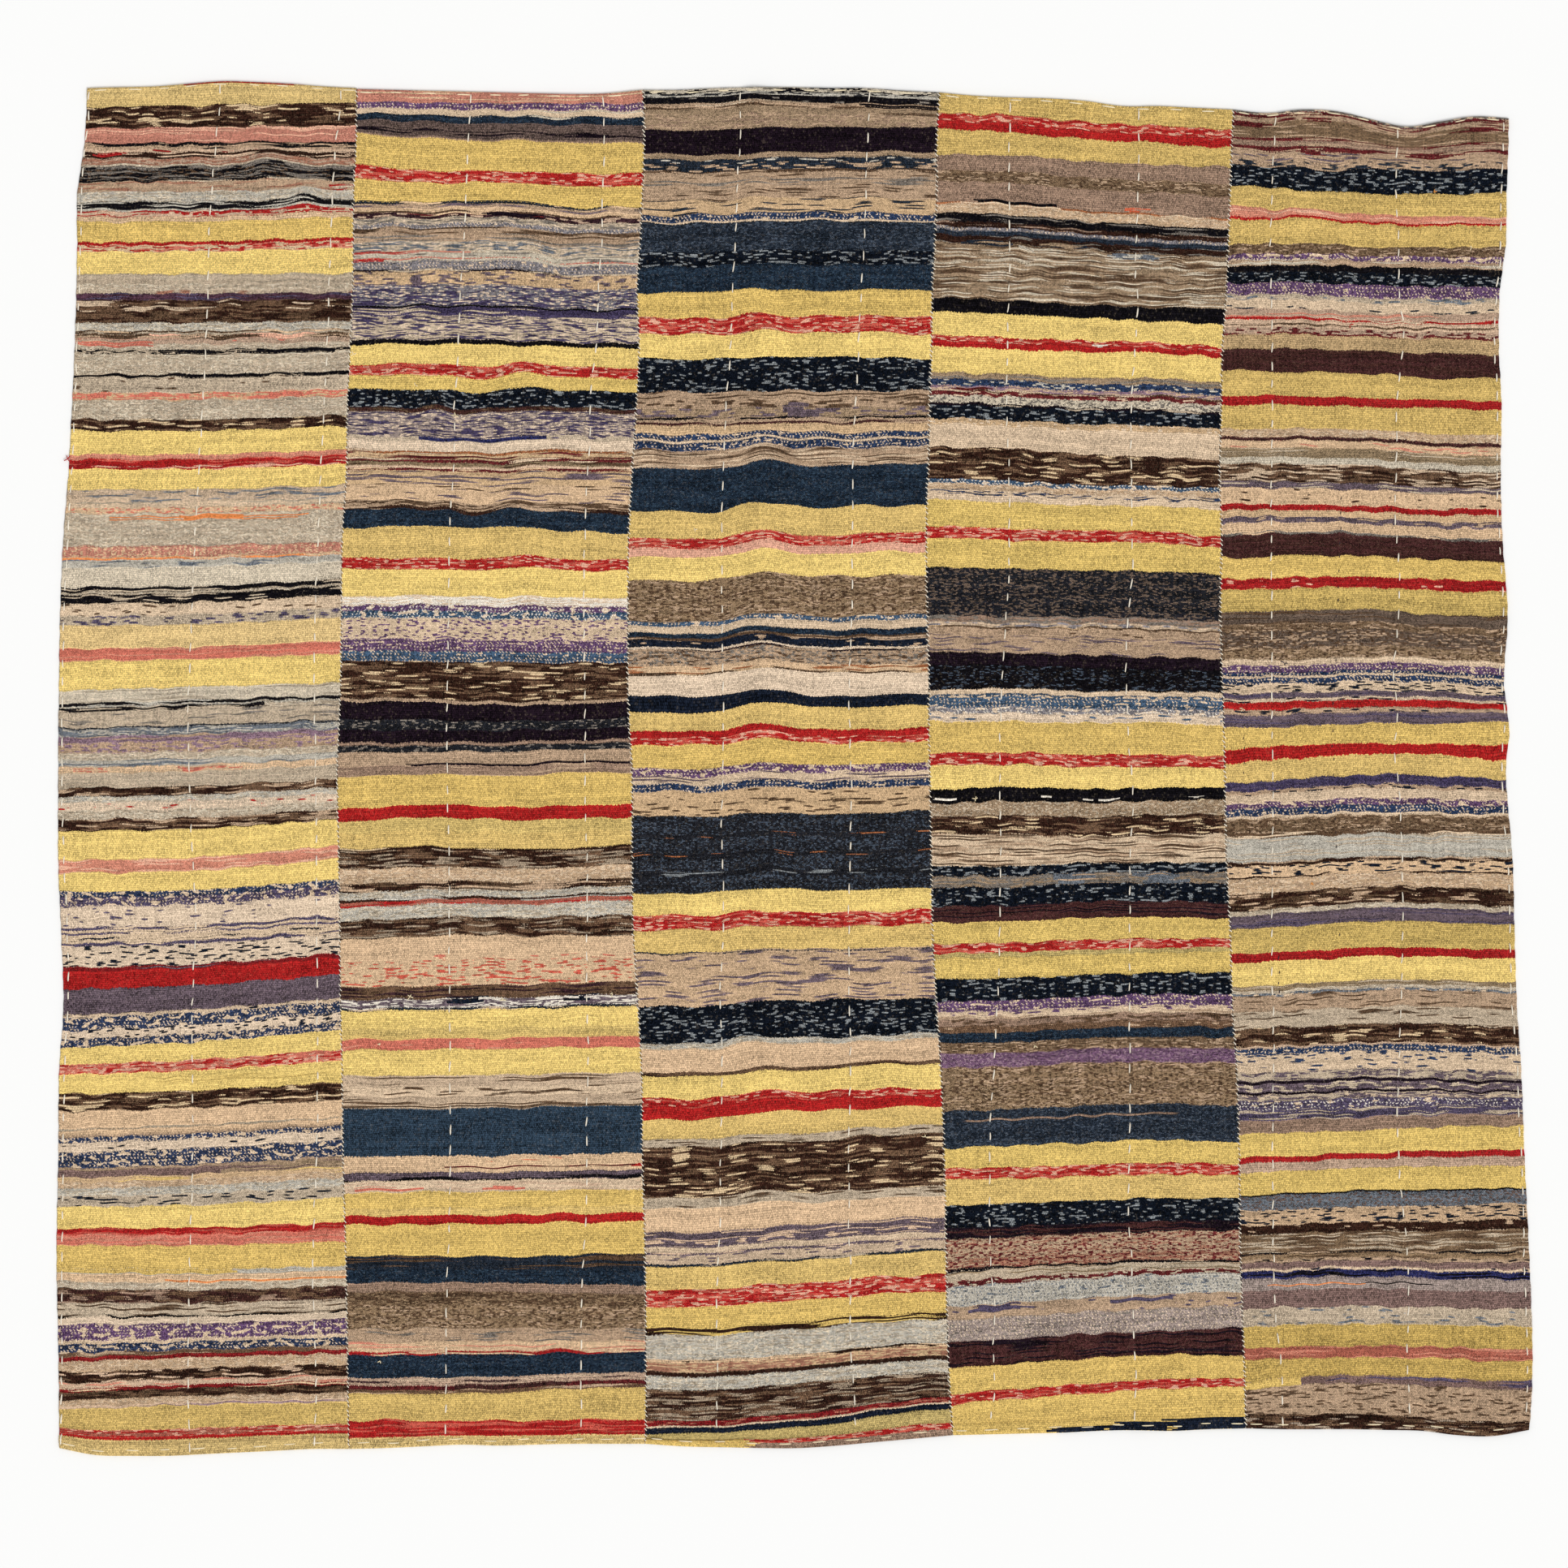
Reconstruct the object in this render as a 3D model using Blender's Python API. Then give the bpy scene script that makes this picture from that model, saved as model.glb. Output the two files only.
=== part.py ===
# A rag-woven blanket: five loom-width panels sewn selvedge to selvedge, lying flat and slightly rippled.
# Metres, +Z up. The origin is on the surface that the blanket lies on, under the middle of its bounding box.
# +X runs across the panels and +Y runs along the warp, towards the top hem.
import bpy
import bmesh
from mathutils import Vector

mm = 0.001

# Cloth
cloth_thickness = 2.2 * mm
hem_thickness = 4.2 * mm        # the cloth folded once on itself
hem_width = 13 * mm
hem_slope = 3 * mm              # run of the step from the hem down to single cloth
seam_gap = 0.3 * mm             # between two selvedges that meet at a seam

# Mesh lines
row_spacing = 40 * mm           # between the rows that cross a panel
last_level_row = 720 * mm       # rows are level with those of the next panel up to this height
ripple_end_taper = 45 * mm      # a ripple fades out over this length past each end

# How the four seams and the two outer selvedges wander, in mm from the middle of the blanket.
side_columns = ("height", "west", "seam_1", "seam_2", "seam_3", "seam_4", "east")
side_lines = (
    (790, -822, -509, -176, 168, 511, 831),
    (724, -826, -510, -175, 165, 508, 830),
    (667, -834, -513, -177, 165, 506, 828),
    (611, -834, -513, -180, 163, 504, 827),
    (554, -835, -514, -183, 160, 502, 820),
    (488, -837, -517, -181, 159, 497, 819),
    (422, -840, -520, -184, 157, 496, 822),
    (346, -844, -521, -189, 155, 494, 821),
    (271, -850, -526, -193, 153, 496, 823),
    (177, -854, -527, -194, 154, 495, 829),
    (101, -855, -528, -194, 156, 497, 825),
    (44, -856, -530, -192, 156, 499, 831),
    (-3, -856, -532, -189, 157, 500, 827),
    (-107, -856, -530, -189, 159, 502, 835),
    (-182, -853, -529, -188, 160, 506, 837),
    (-277, -850, -528, -182, 165, 509, 840),
    (-352, -855, -526, -178, 170, 514, 845),
    (-456, -856, -525, -177, 174, 517, 849),
    (-560, -858, -522, -174, 176, 518, 854),
    (-673, -856, -520, -173, 178, 522, 858),
    (-749, -855, -519, -173, 182, 524, 856),
    (-791, -855, -518, -174, 185, 524, 850),
)

# Each panel: the sides it lies between, how many columns its mesh has, and the height of its top and bottom
# hem, in mm above the middle, at nine even stations from its west side to its east side.
panel_columns = ("west_side", "east_side", "column_count", "top_hem", "bottom_hem")
panels = {
    "panel_1": ("west", "seam_1", 10,
                (791, 792, 793, 796, 799, 798, 796, 793, 791),
                (-790, -798, -799, -799, -797, -795, -793, -791, -791)),
    "panel_2": ("seam_1", "seam_2", 12,
                (790, 789, 788, 787, 786, 785, 784, 785, 789),
                (-791, -790, -788, -786, -787, -786, -785, -785, -785)),
    "panel_3": ("seam_2", "seam_3", 14,
                (789, 789, 791, 792, 792, 791, 791, 788, 786),
                (-785, -788, -789, -790, -790, -787, -783, -779, -775)),
    "panel_4": ("seam_3", "seam_4", 10,
                (786, 782, 780, 779, 776, 770, 770, 768, 766),
                (-775, -774, -773, -772, -770, -769, -770, -768, -767)),
    "panel_5": ("seam_4", "east", 12,
                (766, 762, 766, 764, 755, 746, 752, 758, 756),
                (-767, -768, -768, -768, -769, -770, -775, -776, -769)),
}

# Soft ripples where the cloth stands off the surface, all in mm: a crest line from one end to the other, the
# distance over which it falls away to either side, and its height. A round pucker has both ends in one place.
ripple_columns = ("x_start", "y_start", "x_end", "y_end", "half_width", "height")
ripples = (
    (-44, 770, -41, 290, 22, 4.0),      # the long crest down the third panel
    (-41, 290, -32, -330, 22, 4.0),
    (-6, -440, -8, -630, 18, 1.6),      # its old fold line, lower down
    (-612, 700, -612, 700, 34, 4.0),    # puckers near the first seam
    (-570, 655, -570, 655, 30, 3.2),
    (-400, 330, -372, 240, 26, 2.4),    # drawn-in cloth in the second panel
    (-335, 325, -308, 235, 26, 2.8),
    (560, 720, 585, 600, 22, 3.2),      # three slanting ripples at the last panel's top corner
    (615, 715, 640, 610, 22, 3.4),
    (700, 735, 712, 660, 26, 2.8),
    (330, 730, 350, 560, 30, 1.8),      # slack in the fourth panel
    (392, -650, 400, -755, 26, 2.2),
    (-790, 120, -795, -60, 24, 1.8),    # the outer selvedges
    (845, 330, 838, 180, 22, 2.0),
    (700, -560, 715, -700, 28, 2.0),
)

yarn_colours = {
    "panel_1": (0.56, 0.47, 0.36),
    "panel_2": (0.42, 0.36, 0.30),
    "panel_3": (0.30, 0.27, 0.24),
    "panel_4": (0.36, 0.31, 0.24),
    "panel_5": (0.46, 0.39, 0.30),
}


def smooth_value(places, values, at):
    """A smooth curve through the points (places, values), read at one place. The places rise."""
    last = len(places) - 1
    if at <= places[0]:
        return values[0]
    if at >= places[last]:
        return values[last]
    slopes = []
    for i in range(last + 1):
        before = max(i - 1, 0)
        after = min(i + 1, last)
        slopes.append((values[after] - values[before]) / (places[after] - places[before]))
    i = max(k for k in range(last) if places[k] <= at)
    span = places[i + 1] - places[i]
    t = (at - places[i]) / span
    from_start = (1 + 2 * t) * (1 - t) ** 2 * values[i] + t * (1 - t) ** 2 * span * slopes[i]
    from_end = t * t * (3 - 2 * t) * values[i + 1] + t * t * (t - 1) * span * slopes[i + 1]
    return from_start + from_end


def side_x(side, height):
    """Where a seam or an outer selvedge lies at one height."""
    column = side_columns.index(side)
    rising = side_lines[::-1]
    heights = [row[0] * mm for row in rising]
    places = [row[column] * mm for row in rising]
    return smooth_value(heights, places, height)


def hem_y(stations, across):
    """The height of a hem's edge, where across runs from 0 at a panel's west side to 1 at its east side."""
    places = [i / (len(stations) - 1) for i in range(len(stations))]
    return smooth_value(places, stations, across) * mm


def ease(t):
    """0 to 1 with no corner at either end."""
    t = min(max(t, 0.0), 1.0)
    return t * t * (3 - 2 * t)


def lift(x, y):
    """How far the underside of the cloth stands off the surface."""
    highest = 0.0
    point = Vector((x, y))
    for ripple in ripples:
        start = Vector(ripple[0:2]) * mm
        end = Vector(ripple[2:4]) * mm
        half_width = ripple[4] * mm
        height = ripple[5] * mm
        crest = end - start
        if crest.length == 0:
            along = 0.0
            past_end = 0.0
            off = (point - start).length
        else:
            along = (point - start).dot(crest.normalized())
            past_end = max(-along, along - crest.length, 0.0)
            off = abs((point - start).cross(crest.normalized()))
        rise = height * ease(1 - off / half_width) * ease(1 - past_end / ripple_end_taper)
        highest = max(highest, rise)
    return highest


def panel_heights(top, bottom):
    """The rows of one column of a panel, from its bottom edge to its top edge, each with its thickness."""
    step = hem_width + hem_slope
    rows = [
        (bottom, hem_thickness),
        (bottom + hem_width, hem_thickness),
        (bottom + step, cloth_thickness),
    ]
    row_count = round(2 * last_level_row / row_spacing)
    for i in range(row_count + 1):
        rows.append((-last_level_row + i * row_spacing, cloth_thickness))
    rows.append((top - step, cloth_thickness))
    rows.append((top - hem_width, hem_thickness))
    rows.append((top, hem_thickness))
    return rows


def panel_mesh(name):
    """One panel as a closed sheet, with both hems as part of it."""
    west_side, east_side, column_count, top_hem, bottom_hem = panels[name]
    west_inset = 0.0 if west_side == "west" else seam_gap / 2
    east_inset = 0.0 if east_side == "east" else seam_gap / 2
    bm = bmesh.new()
    upper = []
    lower = []
    for i in range(column_count + 1):
        across = i / column_count
        rows = panel_heights(hem_y(top_hem, across), hem_y(bottom_hem, across))
        upper_line = []
        lower_line = []
        for y, thickness in rows:
            west_x = side_x(west_side, y) + west_inset
            east_x = side_x(east_side, y) - east_inset
            x = west_x + (east_x - west_x) * across
            under = lift(x, y)
            lower_line.append(bm.verts.new((x, y, under)))
            upper_line.append(bm.verts.new((x, y, under + thickness)))
        upper.append(upper_line)
        lower.append(lower_line)
    row_total = len(upper[0])
    for i in range(column_count):
        for j in range(row_total - 1):
            bm.faces.new((upper[i][j], upper[i + 1][j], upper[i + 1][j + 1], upper[i][j + 1]))
            bm.faces.new((lower[i][j], lower[i][j + 1], lower[i + 1][j + 1], lower[i + 1][j]))
    for j in range(row_total - 1):
        bm.faces.new((lower[0][j], upper[0][j], upper[0][j + 1], lower[0][j + 1]))
        bm.faces.new((lower[-1][j], lower[-1][j + 1], upper[-1][j + 1], upper[-1][j]))
    for i in range(column_count):
        bm.faces.new((lower[i][0], lower[i + 1][0], upper[i + 1][0], upper[i][0]))
        bm.faces.new((lower[i][-1], upper[i][-1], upper[i + 1][-1], lower[i + 1][-1]))
    bmesh.ops.recalc_face_normals(bm, faces=bm.faces)
    bmesh.ops.triangulate(bm, faces=bm.faces)
    mesh = bpy.data.meshes.new(name)
    bm.to_mesh(mesh)
    bm.free()
    return mesh


def woven_cloth(name, colour):
    """Matt cotton in the panel's mean colour."""
    material = bpy.data.materials.new(name)
    material.use_nodes = True
    shader = material.node_tree.nodes["Principled BSDF"]
    shader.inputs["Base Color"].default_value = (*colour, 1.0)
    shader.inputs["Roughness"].default_value = 0.92
    shader.inputs["Metallic"].default_value = 0.0
    return material


def build():
    for old in list(bpy.data.objects):
        bpy.data.objects.remove(old, do_unlink=True)
    for name in panels:
        mesh = panel_mesh(name)
        mesh.materials.append(woven_cloth(name + "_cloth", yarn_colours[name]))
        mesh.shade_smooth()
        mesh.set_sharp_from_angle(angle=0.7)
        panel = bpy.data.objects.new(name, mesh)
        bpy.context.scene.collection.objects.link(panel)


build()
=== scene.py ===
# A rag-woven blanket of five striped panels, laid out flat and seen from above.
import bpy
import math
import random
from statistics import NormalDist
import numpy as np
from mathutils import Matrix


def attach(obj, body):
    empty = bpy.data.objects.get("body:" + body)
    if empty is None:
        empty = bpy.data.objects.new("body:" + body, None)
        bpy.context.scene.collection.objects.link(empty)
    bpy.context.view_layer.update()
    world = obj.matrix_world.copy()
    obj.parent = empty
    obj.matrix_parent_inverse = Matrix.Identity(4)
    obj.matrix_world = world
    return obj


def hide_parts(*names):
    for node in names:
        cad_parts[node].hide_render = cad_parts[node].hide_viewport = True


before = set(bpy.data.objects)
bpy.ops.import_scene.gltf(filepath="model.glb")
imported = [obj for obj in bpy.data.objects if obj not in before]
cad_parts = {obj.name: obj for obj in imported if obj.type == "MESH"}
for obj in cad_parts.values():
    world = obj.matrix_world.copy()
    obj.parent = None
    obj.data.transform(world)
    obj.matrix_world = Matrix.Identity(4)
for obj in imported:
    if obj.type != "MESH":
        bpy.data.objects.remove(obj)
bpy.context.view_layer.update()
mm = 0.001

# The cloth was charted in pixels of a picture 1932 pixels square, taken from straight above.
picture = {
    "pixel": 0.944 * mm,      # real size of one pixel at the cloth
    "middleX": 979,           # the pixel over the frame's origin
    "middleY": 947,
    "side": 1932,
}


def worldX(px):
    return (px - picture["middleX"]) * picture["pixel"]


def worldY(py):
    return (picture["middleY"] - py) * picture["pixel"]


def pixelX(x):
    return x / picture["pixel"] + picture["middleX"]


def smoothCurve(places, values, at):
    # A smooth curve through the points (places, values). The places rise, and past the ends it stays level.
    places = np.asarray(places, float)
    values = np.asarray(values, float)
    at = np.clip(np.asarray(at, float), places[0], places[-1])
    slopes = np.empty_like(values)
    slopes[1:-1] = (values[2:] - values[:-2]) / (places[2:] - places[:-2])
    slopes[0] = (values[1] - values[0]) / (places[1] - places[0])
    slopes[-1] = (values[-1] - values[-2]) / (places[-1] - places[-2])
    i = np.clip(np.searchsorted(places, at, side="right") - 1, 0, len(places) - 2)
    span = places[i + 1] - places[i]
    t = (at - places[i]) / span
    fromStart = (1 + 2 * t) * (1 - t) ** 2 * values[i] + t * (1 - t) ** 2 * span * slopes[i]
    fromEnd = t * t * (3 - 2 * t) * values[i + 1] + t * t * (t - 1) * span * slopes[i + 1]
    return fromStart + fromEnd


def ease(t):
    # From 0 to 1, slow at both ends
    t = np.clip(t, 0, 1)
    return t * t * (3 - 2 * t)


# Shape of the cloth, the same as that of the solids

cloth = {
    "usualWidth": 335 * mm,       # of a panel
    "thickness": 2.2 * mm,
    "hemThickness": 4.2 * mm,     # folded once on itself
    "hemWidth": 13 * mm,
    "hemSlope": 3 * mm,
    "seamGap": 0.3 * mm,
    "edgeRadius": 1.7 * mm,       # rounding of the selvedges
    "endRadius": 2.4 * mm,        # rounding of the folded ends
    "rippleTaper": 45 * mm,       # a ripple fades out over this length past each end
    "swell": 0.9 * mm,            # most that the soft unevenness lifts the cloth
    "slub": 0.1 * mm,             # thick and thin places in the rag weft
    "channelDepth": 0.55 * mm,    # where a row of running stitches draws the cloth in
    "channelWidth": 5 * mm,
    "creaseTaper": 20 * mm,       # an old fold line fades out over this length past each end
    "mostDrawn": 0.45,            # the share of the thickness that stitches and folds may draw the face down
    "seamPull": 0.45 * mm,        # the sewing draws the seams to and fro by this much
    "seamPullPitch": 11.8 * mm,
    "columnSpacing": 6 * mm,
    "rowSpacing": 4.5,            # in chart rows
}

# Where each set of random draws starts
seeds = {"slubs": 40, "panelSewing": 100, "seamSewing": 200, "looseEnds": 300}

# How the seams and the outer selvedges wander, in mm
sideColumns = ("height", "west", "seam1", "seam2", "seam3", "seam4", "east")
sideLines = np.array((
    (790, -822, -509, -176, 168, 511, 831),
    (724, -826, -510, -175, 165, 508, 830),
    (667, -834, -513, -177, 165, 506, 828),
    (611, -834, -513, -180, 163, 504, 827),
    (554, -835, -514, -183, 160, 502, 820),
    (488, -837, -517, -181, 159, 497, 819),
    (422, -840, -520, -184, 157, 496, 822),
    (346, -844, -521, -189, 155, 494, 821),
    (271, -850, -526, -193, 153, 496, 823),
    (177, -854, -527, -194, 154, 495, 829),
    (101, -855, -528, -194, 156, 497, 825),
    (44, -856, -530, -192, 156, 499, 831),
    (-3, -856, -532, -189, 157, 500, 827),
    (-107, -856, -530, -189, 159, 502, 835),
    (-182, -853, -529, -188, 160, 506, 837),
    (-277, -850, -528, -182, 165, 509, 840),
    (-352, -855, -526, -178, 170, 514, 845),
    (-456, -856, -525, -177, 174, 517, 849),
    (-560, -858, -522, -174, 176, 518, 854),
    (-673, -856, -520, -173, 178, 522, 858),
    (-749, -855, -519, -173, 182, 524, 856),
    (-791, -855, -518, -174, 185, 524, 850),
))[::-1] * mm

# Ripples where the cloth stands off the floor: x, y of both ends of the crest, half width and height, in mm
ripples = np.array((
    (-44, 770, -41, 290, 22, 4.0),      # the long crest down the middle panel
    (-41, 290, -32, -330, 22, 4.0),
    (-6, -440, -8, -630, 18, 1.6),      # its old fold line, lower down
    (-612, 700, -612, 700, 34, 4.0),    # puckers near the first seam
    (-570, 655, -570, 655, 30, 3.2),
    (-400, 330, -372, 240, 26, 2.4),    # drawn-in cloth in the second panel
    (-335, 325, -308, 235, 26, 2.8),
    (560, 720, 585, 600, 22, 3.2),      # slanting ripples at the last panel's top corner
    (615, 715, 640, 610, 22, 3.4),
    (700, 735, 712, 660, 26, 2.8),
    (330, 730, 350, 560, 30, 1.8),      # slack in the fourth panel
    (392, -650, 400, -755, 26, 2.2),
    (-790, 120, -795, -60, 24, 1.8),    # the outer selvedges
    (845, 330, 838, 180, 22, 2.0),
    (700, -560, 715, -700, 28, 2.0),
)) * mm

# Old fold lines pressed into the cloth, as soft troughs, in mm as above but with a depth
creases = np.array((
    (-6, 554, -5, 460, 8, 1.0),
    (-7, -430, -9, -640, 8, 0.7),
    (-388, 560, -380, 330, 9, 0.5),
    (336, 300, 340, 40, 9, 0.4),
    (-680, -80, -676, -420, 9, 0.4),
    (676, -60, 680, -330, 9, 0.4),
)) * mm


def distanceToLine(x, y, line):
    # Distance from the line between two ends, and how far past its ends
    startX, startY, endX, endY = line[:4]
    length = math.hypot(endX - startX, endY - startY)
    if length == 0:
        return np.hypot(x - startX, y - startY), np.zeros_like(x)
    alongX = (endX - startX) / length
    alongY = (endY - startY) / length
    along = (x - startX) * alongX + (y - startY) * alongY
    off = np.abs((x - startX) * alongY - (y - startY) * alongX)
    return off, np.maximum(np.maximum(-along, along - length), 0)


def lift(x, y):
    # How far the underside stands off the floor: the ripples, and soft unevenness that never goes below zero
    highest = np.zeros_like(x)
    for ripple in ripples:
        off, past = distanceToLine(x, y, ripple)
        rise = ripple[5] * ease(1 - off / ripple[4]) * ease(1 - past / cloth["rippleTaper"])
        highest = np.maximum(highest, rise)
    waves = np.zeros_like(x)
    # Turns to the metre across and along, and the phase, in radians
    swells = ((61, 23, 0.4), (-37, 52, 1.9), (18, -44, 3.1), (83, 9, 4.4), (-12, 95, 5.2), (47, -71, 0.9))
    for acrossRate, alongRate, phase in swells:
        waves += np.sin(acrossRate * x + alongRate * y + phase)
    return highest + cloth["swell"] * (0.5 + 0.5 * waves / len(swells)) ** 2


def sideX(side, y):
    # Where a seam or an outer selvedge runs. The sewing draws a seam to and fro, and a selvedge wanders.
    slow, slower, phase = 0.7, 0.31, 1.3
    places = smoothCurve(sideLines[:, 0], sideLines[:, sideColumns.index(side)], y)
    turns = 2 * math.pi * y / cloth["seamPullPitch"]
    if side.startswith("seam"):
        return places + cloth["seamPull"] * np.sin(turns)
    return places + 0.5 * cloth["seamPull"] * (np.sin(slow * turns) + np.sin(slower * turns + phase))


# Yarns. The rag weft is dyed, over-dyed or left as it was, here in sRGB from 0 to 255.

dyes = {
    "yellow": (224, 194, 116), "mustard": (208, 176, 101), "hemMustard": (201, 173, 114),
    "yellowTan": (208, 177, 108), "dullYellow": (190, 162, 94), "khaki": (176, 155, 98),
    "greenYellow": (197, 170, 104),
    "red": (163, 33, 32), "crimson": (152, 31, 32), "darkRed": (120, 28, 30),
    "salmon": (200, 130, 108), "dustySalmon": (184, 122, 104), "salmonPale": (218, 166, 140),
    "pinkBeige": (199, 169, 142), "pinkCream": (212, 158, 134), "cream": (206, 181, 152),
    "paleCream": (214, 191, 165), "peach": (206, 174, 139), "peachTan": (194, 163, 126),
    "tan": (171, 144, 118), "greige": (181, 163, 140), "roseTan": (176, 148, 126),
    "roseTaupe": (142, 116, 98), "taupe": (148, 125, 100), "taupeBrown": (136, 112, 86),
    "umber": (82, 62, 46), "oliveBrown": (114, 92, 70), "oliveTan": (134, 114, 88),
    "brown": (46, 27, 20), "mottledBrown": (98, 74, 56), "chocolate": (58, 34, 30),
    "plumBrown": (64, 36, 35), "plum": (50, 30, 35), "plumBlack": (23, 14, 22),
    "black": (14, 12, 16), "navy": (19, 25, 37), "deepNavy": (11, 16, 25), "tealNavy": (26, 37, 50),
    "slateNavy": (31, 38, 48), "charcoal": (29, 30, 35), "teal": (40, 54, 68),
    "tickBlue": (60, 80, 102), "slateBlue": (98, 103, 110), "slateGrey": (114, 106, 98),
    "paleGrey": (178, 171, 158), "mint": (190, 178, 158), "greyWhite": (116, 120, 122),
    "tickPurple": (92, 67, 98), "slatePurple": (94, 80, 88), "violet": (76, 67, 88),
    "lilac": (134, 108, 122), "purple": (104, 76, 100), "maroon": (90, 32, 34),
    "terracotta": (150, 104, 84), "orange": (216, 130, 74), "orangeRed": (198, 94, 64),
    "orangeBrown": (150, 92, 58), "white": (228, 218, 202), "lensCream": (198, 172, 136),
    "greyLight": (152, 134, 116), "salmonRed": (198, 110, 92), "ash": (162, 148, 128),
    "paleGreige": (200, 186, 164), "dusk": (92, 76, 70), "inkBlue": (40, 42, 82),
    "brickRed": (188, 82, 66), "lightTan": (188, 164, 138), "slateHint": (58, 66, 77),
    "coal": (27, 27, 33), "tickNavy": (39, 53, 80), "ashRose": (150, 134, 126),
    "smokeBrown": (94, 79, 68), "mauveTaupe": (118, 94, 88), "ikatPink": (188, 84, 70),
    "gold": (208, 178, 102), "oldGold": (197, 167, 99), "ochre": (186, 156, 87),
    "paleYellow": (215, 185, 128), "sand": (190, 160, 128), "oliveSand": (176, 148, 108),
    "wineViolet": (76, 50, 62), "nightViolet": (62, 54, 80), "tickInk": (43, 53, 78),
    "dullBlue": (122, 117, 120), "brickRose": (160, 90, 74), "lensGrey": (148, 130, 110),
}

# How a second and a third colour show in a stripe: the share of each, the length of its patches in pixels,
# how far whole picks go over to it, ticks for a regular two-ply twist, how many picks to two rows of the
# chart, and blotches for patches that run over several picks.
patternColumns = ("share", "length", "otherShare", "otherLength", "wholePicks", "ticks", "rate", "blotches")
patterns = {
    "plain": (0, 20, 0, 20, 0, 0, 0.8, 0),
    "few": (0.05, 12, 0, 20, 0, 0, 0.9, 0),
    "dashes": (0.14, 12, 0, 20, 0.05, 0, 1, 0),
    "specks": (0.30, 2.6, 0, 20, 0, 0, 1.3, 0),
    "flecks": (0.24, 7, 0, 20, 0, 0, 1, 0),
    "bits": (0.17, 6, 0, 20, 0, 0, 1, 0),
    "thick": (0.27, 11, 0, 20, 0, 0, 0.85, 0),
    "dense": (0.22, 9, 0, 20, 0, 0, 1.1, 0),
    "wisps": (0.16, 26, 0, 20, 0, 0, 1.2, 0),
    "strokes": (0.26, 26, 0, 20, 0.06, 0, 1, 0),
    "gaps": (0.30, 42, 0, 20, 0, 0, 1, 0),
    "streaks": (0.26, 44, 0, 20, 0.10, 0, 1.1, 0),
    "lines": (0.22, 75, 0, 20, 0.22, 0, 1.3, 0),
    "strands": (0.26, 42, 0.30, 30, 0.12, 0, 1.4, 0),
    "leaf": (0.34, 40, 0.36, 44, 0, 0, 0.7, 0),
    "lens": (0.13, 20, 0.42, 24, 0, 0, 0.85, 0),
    "floats": (0.28, 24, 0.42, 26, 0, 0, 0.9, 0),
    "ikat": (0.22, 7, 0.38, 24, 0.06, 0, 1.3, 0),
    "stipple": (0.40, 12, 0.30, 4, 0.06, 0, 1.6, 0),
    "mottle": (0.44, 26, 0.26, 5, 0.12, 0, 1.6, 0),
    "heather": (0.30, 3.6, 0.26, 11, 0.08, 0, 1.4, 0),
    "crumbs": (0.20, 4.5, 0, 20, 0, 0, 1.3, 0),
    "ticks": (0, 10, 0.05, 8, 0, 0.9, 1, 0),
    "blobs": (0, 10, 0.20, 6, 0, 0.9, 1, 1),
}

# Stripes that come again and again: its ground, its second colour, its third colour, and how they show
namedWeaves = {
    "brownLens": "brown+lensCream+mottledBrown.lens",
    "greyLens": "brown+lensGrey+mottledBrown.floats",
    "redIkat": "red+pinkCream+ikatPink.ikat",
    "navyFleck": "deepNavy+greyWhite.bits",
    "tealNavy": "tealNavy+teal.specks",
    "taupeBrown": "taupeBrown+umber+tan.heather",
    "navyTicks": "tickNavy+paleCream+cream.ticks",
    "slateTicks": "dullBlue+paleCream+cream.ticks",
    "paleTicks": "paleGrey+slateBlue+slateBlue.ticks",
    "blueTicks": "tickBlue+paleCream+cream.ticks",
    "purpleTicks": "tickPurple+paleCream+cream.ticks",
    "blueBlobs": "tickBlue+paleCream+cream.blobs",
    "inkBlobs": "tickInk+paleCream+cream.blobs",
    "purpleBlobs": "tickPurple+paleCream+cream.blobs",
    "whitePurple": "tickPurple+white+paleCream.blobs",
    "whiteBlue": "tickBlue+white+paleCream.blobs",
    "whiteDull": "dullBlue+white+paleCream.blobs",
    "greige": "greige+paleGreige+ash.heather",
    "paleGrey": "paleGrey+paleGreige+ash.heather",
    "sand": "sand+cream+tan.heather",
    "taupe": "taupe+tan+roseTaupe.heather",
}


def linear(colour):
    # The light that an sRGB colour from 0 to 255 gives back
    made = []
    for part in colour:
        part = part / 255
        made.append(part / 12.92 if part <= 0.04045 else ((part + 0.055) / 1.055) ** 2.4)
    return made


def fleckCut(share):
    # The height at which to cut the weft noise so that this share of it stands above
    spread, softEdge, pastAll = 0.157, 0.017, 2.0
    if share <= 0:
        return pastAll
    return 0.5 + spread * NormalDist().inv_cdf(1 - share) - softEdge


def fineness(length):
    # Turns of the weft noise to the metre, for patches of this length in pixels
    patchPerTurn = 0.6
    return patchPerTurn / (length * picture["pixel"])


def readWeave(name):
    # The five colours that the material reads for one stripe
    colours, _, kind = namedWeaves.get(name, name).partition(".")
    ground, *others = colours.split("+")
    second = others[0] if others else ground
    third = others[1] if len(others) > 1 else second
    pattern = dict(zip(patternColumns, patterns[kind or "plain"]))
    return {
        "weftGround": (*linear(dyes[ground]), 1),
        "weftBody": (pattern["rate"], pattern["blotches"], 0, 1),
        "weftSecond": (*linear(dyes[second]), fleckCut(pattern["share"])),
        "weftThird": (*linear(dyes[third]), fleckCut(pattern["otherShare"])),
        "weftPattern": (fineness(pattern["length"]), fineness(pattern["otherLength"]),
                        pattern["wholePicks"], pattern["ticks"]),
    }


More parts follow.
